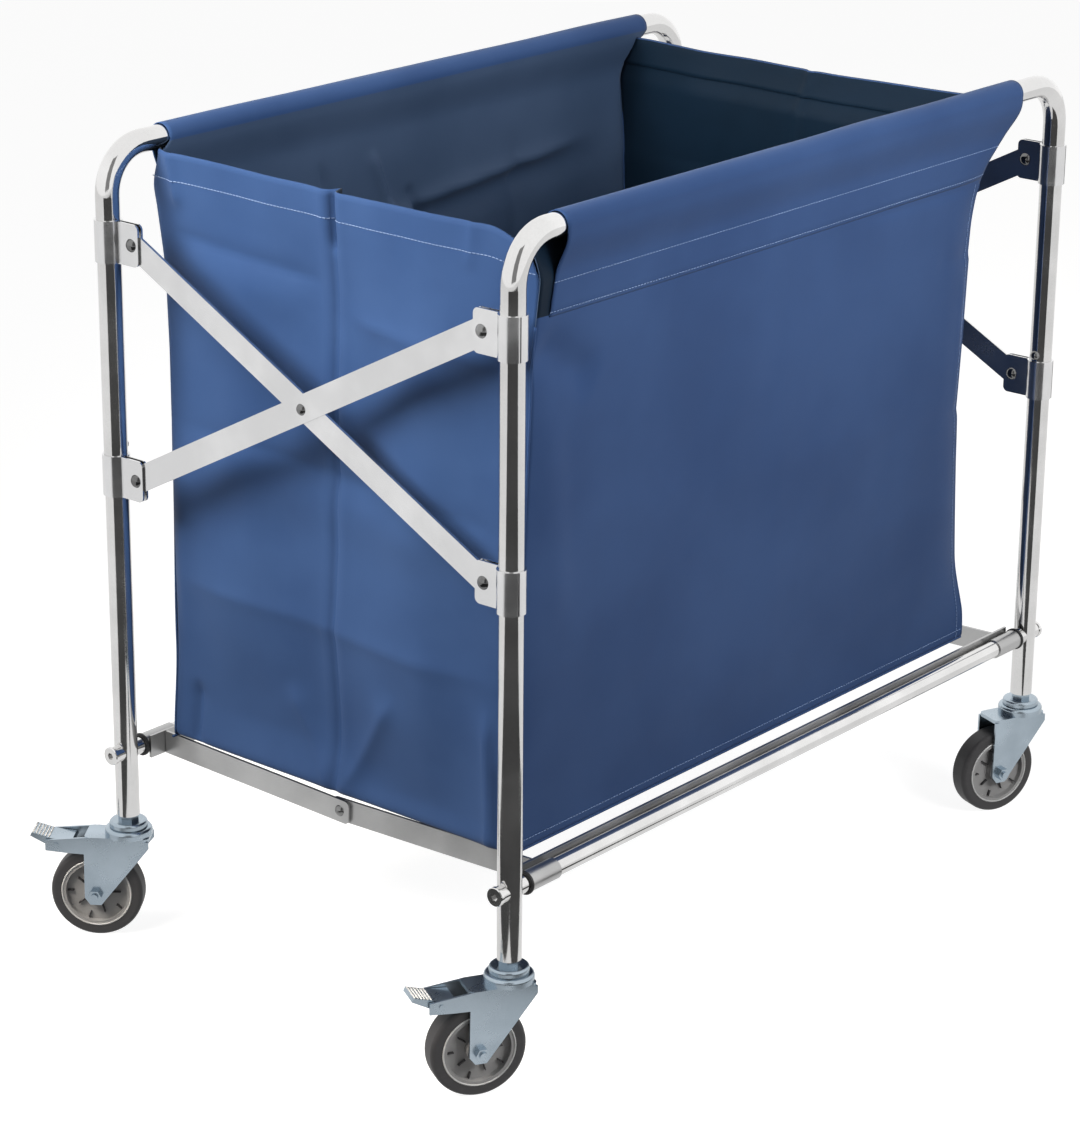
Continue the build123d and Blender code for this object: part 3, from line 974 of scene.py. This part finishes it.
    def trim(self, finishes: Finishes, stitches: StitchTree) -> list[bpy.types.Object]:
        """The wall's seams and stitch rows.

        Args:
            finishes: the trolley's materials.
            stitches: the stitch maker.

        Returns:
            The trim, riding on the side frame.
        """
        lines = []
        for z in (0.8125, 0.7835):
            left, right = self.span(z, 2)
            lines.append(self.outer_line(z, 2, left + 0.001, right - 0.003, 0.0008))
        lines.append(self.outer_line(0.236, 0, -0.42, 0.374, 0.0008))
        lines.append(self.corner_path(End.RIGHT, 0.011, 0.0008))
        thread = stitches.sew(f"bag_{self.name}_stitching", lines)
        welts = [tube_mesh(self.corner_path(end, -0.0004, -0.0002), 0.0014) for end in End]
        welts.append(tube_mesh(self.outer_line(WALL_LOW_Z, 0, -0.427, 0.3785, 0.0), 0.0015))
        welt = piece(f"bag_{self.name}_welt", *joined(welts), finishes.cloth)
        return [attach(o, f"{self.name}_frame") for o in (thread, welt)]


def thicken(cloth: bpy.types.Object, rim: int = 0) -> None:
    """Gives a cloth its thickness, with the next finish in line on its inner face.

    Args:
        cloth: a single layer whose faces look outwards.
        rim: how many finishes on from the face's own its cut edge has.
    """
    wall = cloth.modifiers.new("thickness", "SOLIDIFY")
    wall.thickness = CLOTH_THICK
    wall.offset = 0.0
    wall.material_offset = 1
    wall.material_offset_rim = rim
    settle(cloth)


@dataclass(frozen=True)
class BagStrip:
    """The one long strip of cloth that makes both ends and the floor of the bag."""

    left_creases: tuple[Crease, ...]
    right_creases: tuple[Crease, ...]
    columns: int = 110
    hem: float = 0.029

    def edge_y(self, end: End, side: Side, z: np.ndarray) -> np.ndarray:
        """Y of the strip's edge on an end, at height z, without sign."""
        line = CORNERS[(side, end)]
        return inner_y(z) - line.inset(z) - 0.0006

    def top_z(self, y: np.ndarray, end: End) -> np.ndarray:
        """Height of an end's top edge at y."""
        if end is End.RIGHT:
            return END_TOP_Z + 0.001 - 0.004 * (1 - (y / 0.2532) ** 2)
        droop = 0.013 * smooth_step((-0.2 - y) / 0.06)
        return END_TOP_Z + 0.003 - 0.002 * np.cos(y * 6.0) - droop

    def end_point(self, end: End, z: np.ndarray, across: np.ndarray, inside: float) -> np.ndarray:
        """Points on an end.

        Args:
            end: which end.
            z: nominal height of each point.
            across: from -1 at the near edge to 1 at the far edge.
            inside: distance behind the cloth's main layer.

        Returns:
            The points.
        """
        near_y, far_y = self.edge_y(end, Side.NEAR, z), self.edge_y(end, Side.FAR, z)
        y = np.where(across < 0, across * near_y, across * far_y)
        x_near, x_far = CORNERS[(Side.NEAR, end)].x(z), CORNERS[(Side.FAR, end)].x(z)
        mix = (across + 1) / 2
        share = mix if end is End.RIGHT else smooth_step(mix * 0.5) * mix**0.4 + mix * 0.25
        x = x_near + (x_far - x_near) * share
        x = np.where(across >= 1.0, x_far, x)
        bowed = (1 - across**2) * smooth_step((z - 0.23) / 0.15) * smooth_step((END_TOP_Z - z) / 0.2)
        if end is End.LEFT:
            out, creases, seed = 0.004 * bowed, self.left_creases, 11.0
        else:
            out, creases, seed = 0.012 * bowed, self.right_creases, 17.0
        calm = smooth_step((1 - np.abs(across)) / 0.08) * smooth_step((z - 0.228) / 0.05)
        waves = undulation(y, z, 0.17, seed) * 0.009 + undulation(y, z * 0.5, 0.06, seed + 3) * 0.0024
        folds = sum((c.lift(y, z) for c in creases), np.zeros_like(y)) * 1.5
        out = out + calm * waves + folds * smooth_step((z - 0.224) / 0.01)
        raised = smooth_step((z - 0.79) / (END_TOP_Z - 0.79))
        height = z + raised * (self.top_z(y, end) - END_TOP_Z)
        return np.stack([x + end.value * (out - inside), y, height], -1)

    def floor_point(self, x: np.ndarray, across: np.ndarray) -> np.ndarray:
        """Points on the floor.

        Args:
            x: along the trolley.
            across: from -1 at the near edge to 1 at the far edge.

        Returns:
            The points.
        """
        y = across * (WALL_FOOT_Y - 0.0012)
        reach = np.clip((x + 0.4225) / 0.05, 0, 1) * np.clip((0.3765 - x) / 0.05, 0, 1)
        sag = 0.0045 * reach * (1 - across**4)
        waves = undulation(x, y, 0.15, 29.0) * 0.002 * reach * (1 - across**6)
        return np.stack([x, y, FLOOR_Z - sag + waves], -1)

    def rows(self) -> tuple[np.ndarray, np.ndarray]:
        """All points of the strip's middle layer, from the left hem to the right hem.

        Returns:
            Points by row and column, and 1 for each row of a turned-in hem.
        """
        across = np.linspace(-1, 1, self.columns)
        made: list[np.ndarray] = []
        hems: list[int] = []

        def end_rows(end: End) -> list[tuple[np.ndarray, int]]:
            """The rows of one end, from its hem's raw edge down to the floor."""
            found = []
            for z in np.linspace(END_TOP_Z - self.hem, END_TOP_Z - 0.0012, 7):
                found.append((self.end_point(end, np.full_like(across, z), across, 0.0021), 1))
            found.append((self.end_point(end, np.full_like(across, END_TOP_Z), across, 0.001), 0))
            for z in np.linspace(END_TOP_Z - 0.0012, 0.2335, 122):
                found.append((self.end_point(end, np.full_like(across, z), across, 0.0), 0))
            for z, inside in ((0.2305, 0.0007), (0.2285, 0.002)):
                found.append((self.end_point(end, np.full_like(across, z), across, inside), 0))
            return found

        for points, hem in end_rows(End.LEFT):
            made.append(points)
            hems.append(hem)
        for x in np.linspace(-0.4195, 0.374, 90):
            made.append(self.floor_point(np.full_like(across, x), across))
            hems.append(0)
        for points, hem in reversed(end_rows(End.RIGHT)):
            made.append(points)
            hems.append(hem)
        return np.array(made), np.array(hems)

    def build(self, finishes: Finishes, stitches: StitchTree) -> list[bpy.types.Object]:
        """Makes the strip and its hem stitches, riding on the near frame.

        Args:
            finishes: the trolley's materials.
            stitches: the stitch maker.

        Returns:
            The strip and its stitches.
        """
        points, hems = self.rows()
        rows, columns = points.shape[:2]
        faces = grid_faces(rows, columns)
        # The strip's inside, over both ends and the floor, and its turned-in hems get painted shade instead
        # of the lining.
        layers = (finishes.cloth, finishes.painted_shade_lining)
        strip = piece("bag_ends_and_floor", points.reshape(-1, 3), faces, *layers)
        per_row = np.repeat(hems[:-1], columns - 1)
        strip.data.polygons.foreach_set("material_index", per_row.astype(np.int32))
        thicken(strip)
        across = np.linspace(-0.985, 0.985, 150)
        height = np.full_like(across, END_TOP_Z - self.hem + 0.001)
        lines = [self.end_point(end, height, across, -0.0008) for end in End]
        thread = stitches.sew("bag_hem_stitching", lines)
        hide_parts("bag_left_end", "bag_right_end", "bag_floor")
        for made in (strip, thread):
            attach(made, "near_frame")
            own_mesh(made)
        return [strip, thread]


# --------------------------------------------------------------- metal fittings


@dataclass(frozen=True)
class RailWashers:
    """Black rings on the lower rails, between the sleeves of the bottom frame and the legs."""

    inner_r: float = 0.0097
    outer_r: float = 0.0124
    start_x: float = 0.4412
    width: float = 0.0032

    def build(self, side: Side, finishes: Finishes) -> bpy.types.Object:
        """Makes the two rings of one side.

        Args:
            side: which long side.
            finishes: the trolley's materials.

        Returns:
            The rings, riding on the side frame.
        """
        bevel = 0.0006
        outline = [
            (self.inner_r, 0.0), (self.outer_r - bevel, 0.0), (self.outer_r, bevel),
            (self.outer_r, self.width - bevel), (self.outer_r - bevel, self.width),
            (self.inner_r, self.width),
        ]
        rings = []
        for end in End:
            centre = Vector((end.value * self.start_x, side.value * LEG_Y, RAIL_LOW_Z))
            rings.append(lathe(outline, centre, Vector((end.value, 0, 0))))
        name = side.name.lower()
        made = outward(piece(f"{name}_rail_washers", *joined(rings), finishes.black))
        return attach(made, f"{name}_frame")


def outward(made: bpy.types.Object) -> bpy.types.Object:
    """Makes a closed mesh's faces look outwards.

    Args:
        made: the object.

    Returns:
        The same object.
    """
    work = bmesh.new()
    work.from_mesh(made.data)
    bmesh.ops.recalc_face_normals(work, faces=work.faces)
    work.to_mesh(made.data)
    work.free()
    return made


@dataclass(frozen=True)
class WrapSeam:
    """The narrow dark joint where a bracket's strip meets itself on the leg."""

    radius: float = 0.01485
    width: float = 0.0018
    height: float = 0.0435

    def mesh(self, side: Side, end: End, z: float) -> Shape:
        """The joint on one bracket.

        Args:
            side: which long side.
            end: which end.
            z: the bracket's middle height.

        Returns:
            Points and faces.
        """
        lean = math.radians(20.0)
        points = []
        for k, turn in enumerate(np.linspace(-0.5, 0.5, 4) * self.width / self.radius):
            direction = (end.value * math.sin(lean + turn), side.value * math.cos(lean + turn))
            lift = self.radius - (0.0004 if k in (0, 3) else 0.0)
            x = end.value * LEG_X + direction[0] * lift
            y = side.value * LEG_Y + direction[1] * lift
            points.extend((x, y, z + h) for h in (-self.height / 2, self.height / 2))
        faces = [(0, 2, 3, 1), (2, 4, 5, 3), (4, 6, 7, 5), (6, 0, 1, 7), (0, 6, 4, 2), (1, 3, 5, 7)]
        return np.array(points), faces


@dataclass(frozen=True)
class WheelTrim:
    """Raised rim lips, coloured pale as a painted highlight, and dark ribs standing for the moulded slots as
    painted shade, on both faces of a wheel's centre.
    """

    lip_r: float = 0.0383
    slot_shade_count: int = 10

    def build(self, name: str, finishes: Finishes) -> list[bpy.types.Object]:
        """Makes the trim of one wheel.

        Args:
            name: the wheel's place, such as near_left.
            finishes: the trolley's materials.

        Returns:
            The trim, riding on the wheel.
        """
        joint = next(j for j in FRAME["joints"] if j["name"] == f"{name}_wheel_spin")
        centre, axis = Vector(joint["pos_m"]), Vector(joint["axis"]).normalized()
        lips, ribs = [], []
        first = Vector((0, 0, 1))
        second = axis.cross(first)
        for face in (-1, 1):
            seat = 0.0122
            outline = [
                (self.lip_r - 0.0016, seat - 0.001), (self.lip_r + 0.0002, seat - 0.001),
                (self.lip_r + 0.0002, seat + 0.0006), (self.lip_r - 0.0004, seat + 0.0012),
                (self.lip_r - 0.0012, seat + 0.0012), (self.lip_r - 0.0016, seat + 0.0006),
            ]
            lips.append(lathe(outline, centre, axis * face, 72))
            # Dark ribs in tyre rubber: painted shade standing for the shaded slot marks of the wheel's
            # centre.
            for k in range(self.slot_shade_count):
                turn = 2 * math.pi * (k + 0.5 * (face > 0)) / self.slot_shade_count
                radial = first * math.cos(turn) + second * math.sin(turn)
                side = axis.cross(radial)
                inner, outer = (0.0165, 0.0255) if k % 2 else (0.0255, 0.0325)
                corners = []
                for r, half in ((inner, 0.0006), (outer, 0.0005)):
                    for s in (-half, half):
                        for a in (0.0055, 0.0094):
                            corners.append(centre + radial * r + side * s + axis * face * a)
                box = [(0, 1, 3, 2), (4, 6, 7, 5), (0, 4, 5, 1), (2, 3, 7, 6), (1, 5, 7, 3), (0, 2, 6, 4)]
                ribs.append((np.array(corners), box))
        # The lip is real; its pale colour is a painted highlight.
        lip = outward(piece(f"{name}_wheel_lips", *joined(lips), finishes.wheel_lip))
        rib = outward(piece(f"{name}_wheel_ribs", *joined(ribs), finishes.tyre))
        return [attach(o, f"{name}_wheel") for o in (lip, rib)]


@dataclass(frozen=True)
class PedalTread:
    """Grip ribs across the tip of a brake pedal."""

    angle: float
    pivot: tuple[float, float] = (0.076, 0.107)
    first: tuple[float, float] = (0.009, 0.0068)
    last: tuple[float, float] = (0.0258, 0.0116)
    count: int = 6
    half_width: float = 0.0128
    radius: float = 0.001

    def build(self, side: Side, finishes: Finishes) -> bpy.types.Object:
        """Makes the ribs of one pedal.

        Args:
            side: which long side; the pedal stands at its left end.
            finishes: the trolley's materials.

        Returns:
            The ribs, riding on the pedal.
        """
        turn, ribs = math.radians(self.angle), []
        for share in np.linspace(0, 1, self.count):
            x = self.pivot[0] + self.first[0] + share * (self.last[0] - self.first[0])
            z = self.pivot[1] + self.first[1] + share * (self.last[1] - self.first[1])
            y = np.linspace(-self.half_width, self.half_width, 4)
            path = np.stack([
                x * math.cos(turn) - y * math.sin(turn) - LEG_X,
                x * math.sin(turn) + y * math.cos(turn) + side.value * LEG_Y,
                np.full_like(y, z),
            ], -1)
            ribs.append(tube_mesh(path, self.radius))
        name = f"{side.name.lower()}_left_brake"
        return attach(outward(piece(f"{name}_tread", *joined(ribs), finishes.wheel_lip)), name)


class MetalFrame:
    """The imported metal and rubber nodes, each given its finish, with the small fittings on them."""

    def __init__(self, finishes: Finishes) -> None:
        """Keeps the finishes.

        Args:
            finishes: the trolley's materials.
        """
        self.finishes = finishes

    def finish_for(self, node: str) -> bpy.types.Material:
        """The finish of one node.

        Args:
            node: its name.

        Returns:
            The material.
        """
        f = self.finishes
        rules: list[tuple[tuple[str, ...], bpy.types.Material]] = [
            (("side_tube", "lower_rail", "rail_spacers", "rail_bolts"), f.tube),
            (("bottom_bar", "bottom_arms"), f.arm),
            (("rivet", "stop_pins"), f.rivet),
            (("bracket", "collar", "scissor_bar"), f.strip),
            (("wheel_core",), f.wheel),
            (("tyre",), f.tyre),
        ]
        for words, material in rules:
            if any(word in node for word in words):
                return material
        return f.zinc

    def dress(self) -> None:
        """Gives every rigid node its finish."""
        for name, node in FRAME["nodes"].items():
            if name.startswith("bag_"):
                continue
            node.data.materials.clear()
            node.data.materials.append(self.finish_for(name))
            LOG.info("dressed %s", name)

    def add_fittings(self) -> None:
        """Adds washers, wrap seams and wheel trim."""
        washers, seam = RailWashers(), WrapSeam()
        for side in Side:
            washers.build(side, self.finishes)
            PedalTread(150.0 if side is Side.NEAR else 125.0).build(side, self.finishes)
            for end in End:
                place = f"{side.name.lower()}_{end.name.lower()}"
                wrapped = {
                    f"{place}_upper_bracket": f"{side.name.lower()}_frame",
                    f"{place}_sliding_collar": f"{place}_collar",
                }
                for node, body in wrapped.items():
                    low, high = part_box(node)
                    mesh = seam.mesh(side, end, (low.z + high.z) / 2)
                    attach(outward(piece(f"{node}_seam", *mesh, self.finishes.black)), body)
                WheelTrim().build(place, self.finishes)
                LOG.info("fittings at %s", place)


# ------------------------------------------------------------------------ stage


class Studio:
    """Pale floor, soft lights, dark cards that only polished metal sees, and the camera."""

    def __init__(self) -> None:
        """Builds the studio."""
        self.world()
        self.floor()
        self.lights()
        self.cards()
        self.camera()

    def world(self) -> None:
        """A plain soft surround."""
        surround = bpy.data.worlds.new("surround")
        bpy.context.scene.world = surround
        surround.use_nodes = True
        background = surround.node_tree.nodes["Background"]
        background.inputs["Color"].default_value = (1.0, 1.0, 1.0, 1.0)
        background.inputs["Strength"].default_value = 0.15
        bpy.context.scene.view_settings.view_transform = "Standard"

    def floor(self) -> None:
        """A wide pale floor, and the darker one that it casts its light back from."""
        g = Graph("pale_floor")
        speck = g.grain(g.place(), 3.0, 2.0)
        pale = {"Base Color": g.tint(speck, (0.36, 0.36, 0.36), (0.38, 0.38, 0.38))}
        fixed = {"Roughness": 0.8, "Specular IOR Level": 0.0, "Emission Color": (1.0, 1.0, 1.0, 1.0)}
        finish = g.finish(pale, {**fixed, "Emission Strength": 0.9})
        quad = [(0, 1, 2, 3)]
        self.card("floor", self.slab(30.0, 0.0), quad, finish, ("camera",))
        g = Graph("grey_floor")
        grey = {"Base Color": g.tint(g.grain(g.place(), 3.0, 2.0), (0.05, 0.05, 0.05), (0.07, 0.07, 0.07))}
        finish = g.finish(grey, {"Roughness": 0.9})
        self.card("floor_bounce", self.slab(6.0, -0.001), quad, finish, ("diffuse",))
        self.card("floor_mirrored", self.slab(14.0, -0.002), quad, self.glow("floor_glow", 0.86), ("glossy",))

    def slab(self, reach: float, z: float) -> np.ndarray:
        """Corners of a level square."""
        return np.array([(-reach, -reach, z), (reach, -reach, z), (reach, reach, z), (-reach, reach, z)])

    def glow(self, name: str, tone: float) -> bpy.types.Material:
        """An even light surface.

        Args:
            name: the material's name.
            tone: its brightness.

        Returns:
            The material.
        """
        dull = {"Base Color": (0.0, 0.0, 0.0, 1.0), "Roughness": 1.0, "Specular IOR Level": 0.0}
        lit = {"Emission Color": (tone, tone, tone, 1.0), "Emission Strength": 1.0}
        return Graph(name).finish({}, {**dull, **lit})

    def card(
        self,
        name: str,
        points: np.ndarray,
        faces: list[Face],
        finish: bpy.types.Material,
        seen_by: Sequence[str],
    ) -> None:
        """One surface of the studio.

        Args:
            name: its name.
            points: its corners.
            faces: its faces.
            finish: its material.
            seen_by: the kinds of ray that meet it.
        """
        made = piece(name, points, faces, finish)
        for ray in ("camera", "diffuse", "glossy", "transmission", "volume_scatter", "shadow"):
            setattr(made, f"visible_{ray}", ray in seen_by)
        made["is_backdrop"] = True

    def light(
        self,
        name: str,
        place: Sequence[float],
        aim: Sequence[float],
        size: float,
        power: float,
        spread: float,
        tint: Sequence[float],
    ) -> None:
        """One soft square light.

        Args:
            name: its name.
            place: where it hangs.
            aim: where it points.
            size: its side in metres.
            power: watts.
            spread: how wide it shines, in degrees.
            tint: its colour.
        """
        data = bpy.data.lights.new(name, "AREA")
        data.size, data.energy, data.spread = size, power, math.radians(spread)
        data.color = tint
        lamp = bpy.data.objects.new(name, data)
        lamp.location = place
        lamp.rotation_euler = (Vector(aim) - Vector(place)).to_track_quat("-Z", "Y").to_euler()
        lamp.visible_camera = False
        lamp.visible_glossy = False
        bpy.context.scene.collection.objects.link(lamp)

    def lights(self) -> None:
        """A key from the left end and a fill from the front."""
        self.light("key", (-1.55, 0.45, 1.75), (-0.42, 0.05, 1.02), 1.1, 25.0, 84.0, (1.0, 0.93, 0.84))
        self.light("front_fill", (0.1, -1.9, 1.5), (0.0, -0.26, 1.0), 0.9, 13.5, 90.0, (1.0, 1.0, 1.0))

    def dome(self, reach: float, rises: np.ndarray, turns: np.ndarray) -> np.ndarray:
        """Points on a sphere round the origin.

        Args:
            reach: its radius.
            rises: angles above the floor, one row each.
            turns: angles round it, one column each.

        Returns:
            The points, row by row.
        """
        rows = []
        for rise in rises:
            for turn in turns:
                level = reach * math.cos(rise)
                rows.append((level * math.cos(turn), level * math.sin(turn), reach * math.sin(rise)))
        return np.array(rows)

    def cards(self) -> None:
        """The bright surround, the grey strip and the dark floor patch that only polished metal shows."""
        turns, rises = np.radians(np.arange(0, 360, 15)), np.radians(np.arange(-5, 91, 9.5))
        points = self.dome(10.0, rises, turns)
        count, faces = len(turns), []
        for r in range(len(rises) - 1):
            for t in range(count):
                n = (t + 1) % count
                faces.append((r * count + t, r * count + n, (r + 1) * count + n, (r + 1) * count + t))
        self.card("surround_mirrored", points, faces, self.glow("surround_glow", 1.12), ("glossy",))
        patch = [(-0.765, 0.325, 0.0005), (-0.765, -0.52, 0.0005), (0.289, -0.52, 0.0005)]
        for turn in np.radians(np.linspace(-112, -169, 8)):
            patch.append((0.75 + 7 * math.cos(turn), 0.62 + 7 * math.sin(turn), 0.0005))
        points = self.dome(9.0, np.radians(np.linspace(3, 55, 8)), np.radians(np.linspace(-158, -124, 8)))
        self.card("grey_strip", points, grid_faces(8, 8), self.glow("grey_glow", 0.26), ("glossy",))
        outline = [tuple(range(len(patch)))]
        self.card("dark_patch", np.array(patch), outline, self.glow("dark_glow", 0.06), ("glossy",))

    def camera(self) -> None:
        """A long lens, looking down a little across the left near corner."""
        yaw, pitch, roll = math.radians(50.387), math.radians(19.71), math.radians(0.517)
        ahead = Vector((math.sin(yaw) * math.cos(pitch), math.cos(yaw) * math.cos(pitch), -math.sin(pitch)))
        level = Vector((math.cos(yaw), -math.sin(yaw), 0.0))
        above = level.cross(ahead)
        right = level * math.cos(roll) + above * math.sin(roll)
        up = above * math.cos(roll) - level * math.sin(roll)
        data = bpy.data.cameras.new("camera")
        data.sensor_fit = "HORIZONTAL"
        data.sensor_width = 36.0
        data.lens = 116.46
        data.clip_end = 100.0
        eye = bpy.data.objects.new("camera", data)
        turn = Matrix((right, up, -ahead)).transposed().to_4x4()
        eye.matrix_world = Matrix.Translation((-2.835, -2.2643, 1.6619)) @ turn
        bpy.context.scene.collection.objects.link(eye)
        bpy.context.scene.camera = eye


# ------------------------------------------------------------------------- bag


def near_creases() -> tuple[Crease, ...]:
    """The folds of the near wall."""
    return (
        Crease((-0.425, 0.755), (-0.33, 0.70), -0.007, 0.022, sharp=False),
        Crease((-0.40, 0.70), (-0.37, 0.45), 0.003, 0.02, sharp=False),
        Crease((0.10, 0.7745), (0.335, 0.7735), -0.0022, 0.004),
        Crease((0.315, 0.69), (0.32, 0.50), 0.0022, 0.008),
        Crease((0.25, 0.70), (0.33, 0.69), -0.0016, 0.012),
        Crease((-0.42, 0.56), (0.30, 0.52), 0.0011, 0.03),
        Crease((-0.35, 0.35), (0.30, 0.37), -0.0009, 0.04),
        Crease((-0.02, 0.75), (0.0, 0.24), 0.0008, 0.03),
    )


def far_creases() -> tuple[Crease, ...]:
    """The folds of the far wall."""
    return (
        Crease((-0.05, 0.725), (0.30, 0.755), -0.011, 0.008, fade=0.3),
        Crease((-0.05, 0.705), (0.34, 0.735), 0.007, 0.016, sharp=False),
        Crease((-0.155, 0.80), (-0.125, 0.70), 0.006, 0.006),
        Crease((-0.075, 0.80), (-0.045, 0.72), -0.009, 0.006),
        Crease((-0.06, 0.735), (-0.005, 0.715), -0.012, 0.005),
        Crease((-0.02, 0.75), (0.01, 0.70), 0.008, 0.006),
        Crease((-0.20, 0.715), (-0.08, 0.725), -0.008, 0.006),
        Crease((-0.30, 0.70), (-0.10, 0.70), 0.005, 0.02, sharp=False),
        Crease((0.17, 0.79), (0.16, 0.5), 0.005, 0.014),
        Crease((-0.38, 0.5), (0.36, 0.5), 0.004, 0.02),
    )


def left_creases() -> tuple[Crease, ...]:
    """The folds of the left end: a pleat down the middle, packing creases, and pulls at the foot."""
    return (
        Crease((0.003, 0.90), (0.001, 0.20), -0.003, 0.003, fade=0.05),
        Crease((0.002, 0.90), (0.003, 0.795), -0.007, 0.0026, fade=0.15),
        Crease((-0.011, 0.90), (-0.010, 0.20), 0.0022, 0.012, fade=0.05),
        Crease((0.016, 0.90), (0.014, 0.20), 0.0016, 0.01, fade=0.05),
        Crease((0.0, 0.86), (0.0, 0.2), -0.006, 0.055, sharp=False, fade=0.2),
        Crease((-0.185, 0.87), (-0.18, 0.81), 0.0016, 0.006),
        Crease((0.235, 0.87), (0.225, 0.80), 0.003, 0.007),
        Crease((0.25, 0.775), (0.01, 0.762), -0.0028, 0.010),
        Crease((0.25, 0.745), (0.03, 0.735), 0.0022, 0.022, sharp=False),
        Crease((-0.01, 0.735), (-0.24, 0.722), 0.0026, 0.010),
        Crease((0.25, 0.575), (-0.24, 0.56), -0.0024, 0.012),
        Crease((0.25, 0.54), (-0.20, 0.53), 0.002, 0.03, sharp=False),
        Crease((0.25, 0.41), (-0.23, 0.40), 0.0024, 0.014),
        Crease((0.14, 0.80), (0.13, 0.30), 0.004, 0.04, sharp=False),
        Crease((-0.13, 0.78), (-0.12, 0.30), 0.0045, 0.045, sharp=False),
        Crease((-0.005, 0.225), (-0.09, 0.36), 0.0045, 0.014),
        Crease((0.005, 0.225), (0.07, 0.33), 0.0035, 0.014),
        Crease((0.205, 0.205), (0.20, 0.30), -0.005, 0.007),
        Crease((-0.21, 0.205), (-0.205, 0.38), 0.0045, 0.008),
        Crease((-0.224, 0.205), (-0.220, 0.32), -0.003, 0.005),
        Crease((-0.24, 0.835), (-0.215, 0.70), -0.004, 0.009),
    )


def right_creases() -> tuple[Crease, ...]:
    """The folds of the right end."""
    return (
        Crease((0.0, 0.90), (0.0, 0.20), -0.0045, 0.004, fade=0.05),
        Crease((0.24, 0.73), (-0.24, 0.72), 0.002, 0.014),
        Crease((0.24, 0.55), (-0.24, 0.54), -0.002, 0.016),
        Crease((0.12, 0.80), (0.13, 0.32), 0.003, 0.04, sharp=False),
        Crease((-0.12, 0.80), (-0.11, 0.32), 0.003, 0.04, sharp=False),
    )


class Bag:
    """The cloth bag: two long walls, and one strip for both ends and the floor."""

    def __init__(self, finishes: Finishes) -> None:
        """Keeps the finishes.

        Args:
            finishes: the trolley's materials.
        """
        self.finishes = finishes
        near = LongPanel(Side.NEAR, near_creases(), sleeve_x=(-0.403, 0.374))
        far = LongPanel(Side.FAR, far_creases(), sleeve_x=(-0.3885, 0.396), flap_left_x=-0.387)
        self.walls = (near, far)
        self.strip = BagStrip(left_creases(), right_creases())

    def build(self) -> None:
        """Makes every piece of the bag."""
        stitches = StitchTree(self.finishes.thread)
        for wall in self.walls:
            cloth = wall.build(self.finishes)
            LOG.info("cloth %s", cloth.name)
            for made in wall.trim(self.finishes, stitches):
                LOG.info("trim %s", made.name)
        for made in self.strip.build(self.finishes, stitches):
            LOG.info("cloth %s", made.name)


def corners_of(bounds: Callable[[], object]) -> list[list[float]]:
    return [[float(v) for v in corner] for corner in bounds()]


def main() -> None:
    """Builds the trolley's looks and the studio."""
    logging.basicConfig(level=logging.INFO)
    sizes = {"cad": corners_of(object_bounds)}
    finishes = Finishes()
    metal = MetalFrame(finishes)
    metal.dress()
    metal.add_fittings()
    Bag(finishes).build()
    Studio()
    sizes["visual"] = corners_of(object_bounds)


if __name__ == "__main__":
    main()
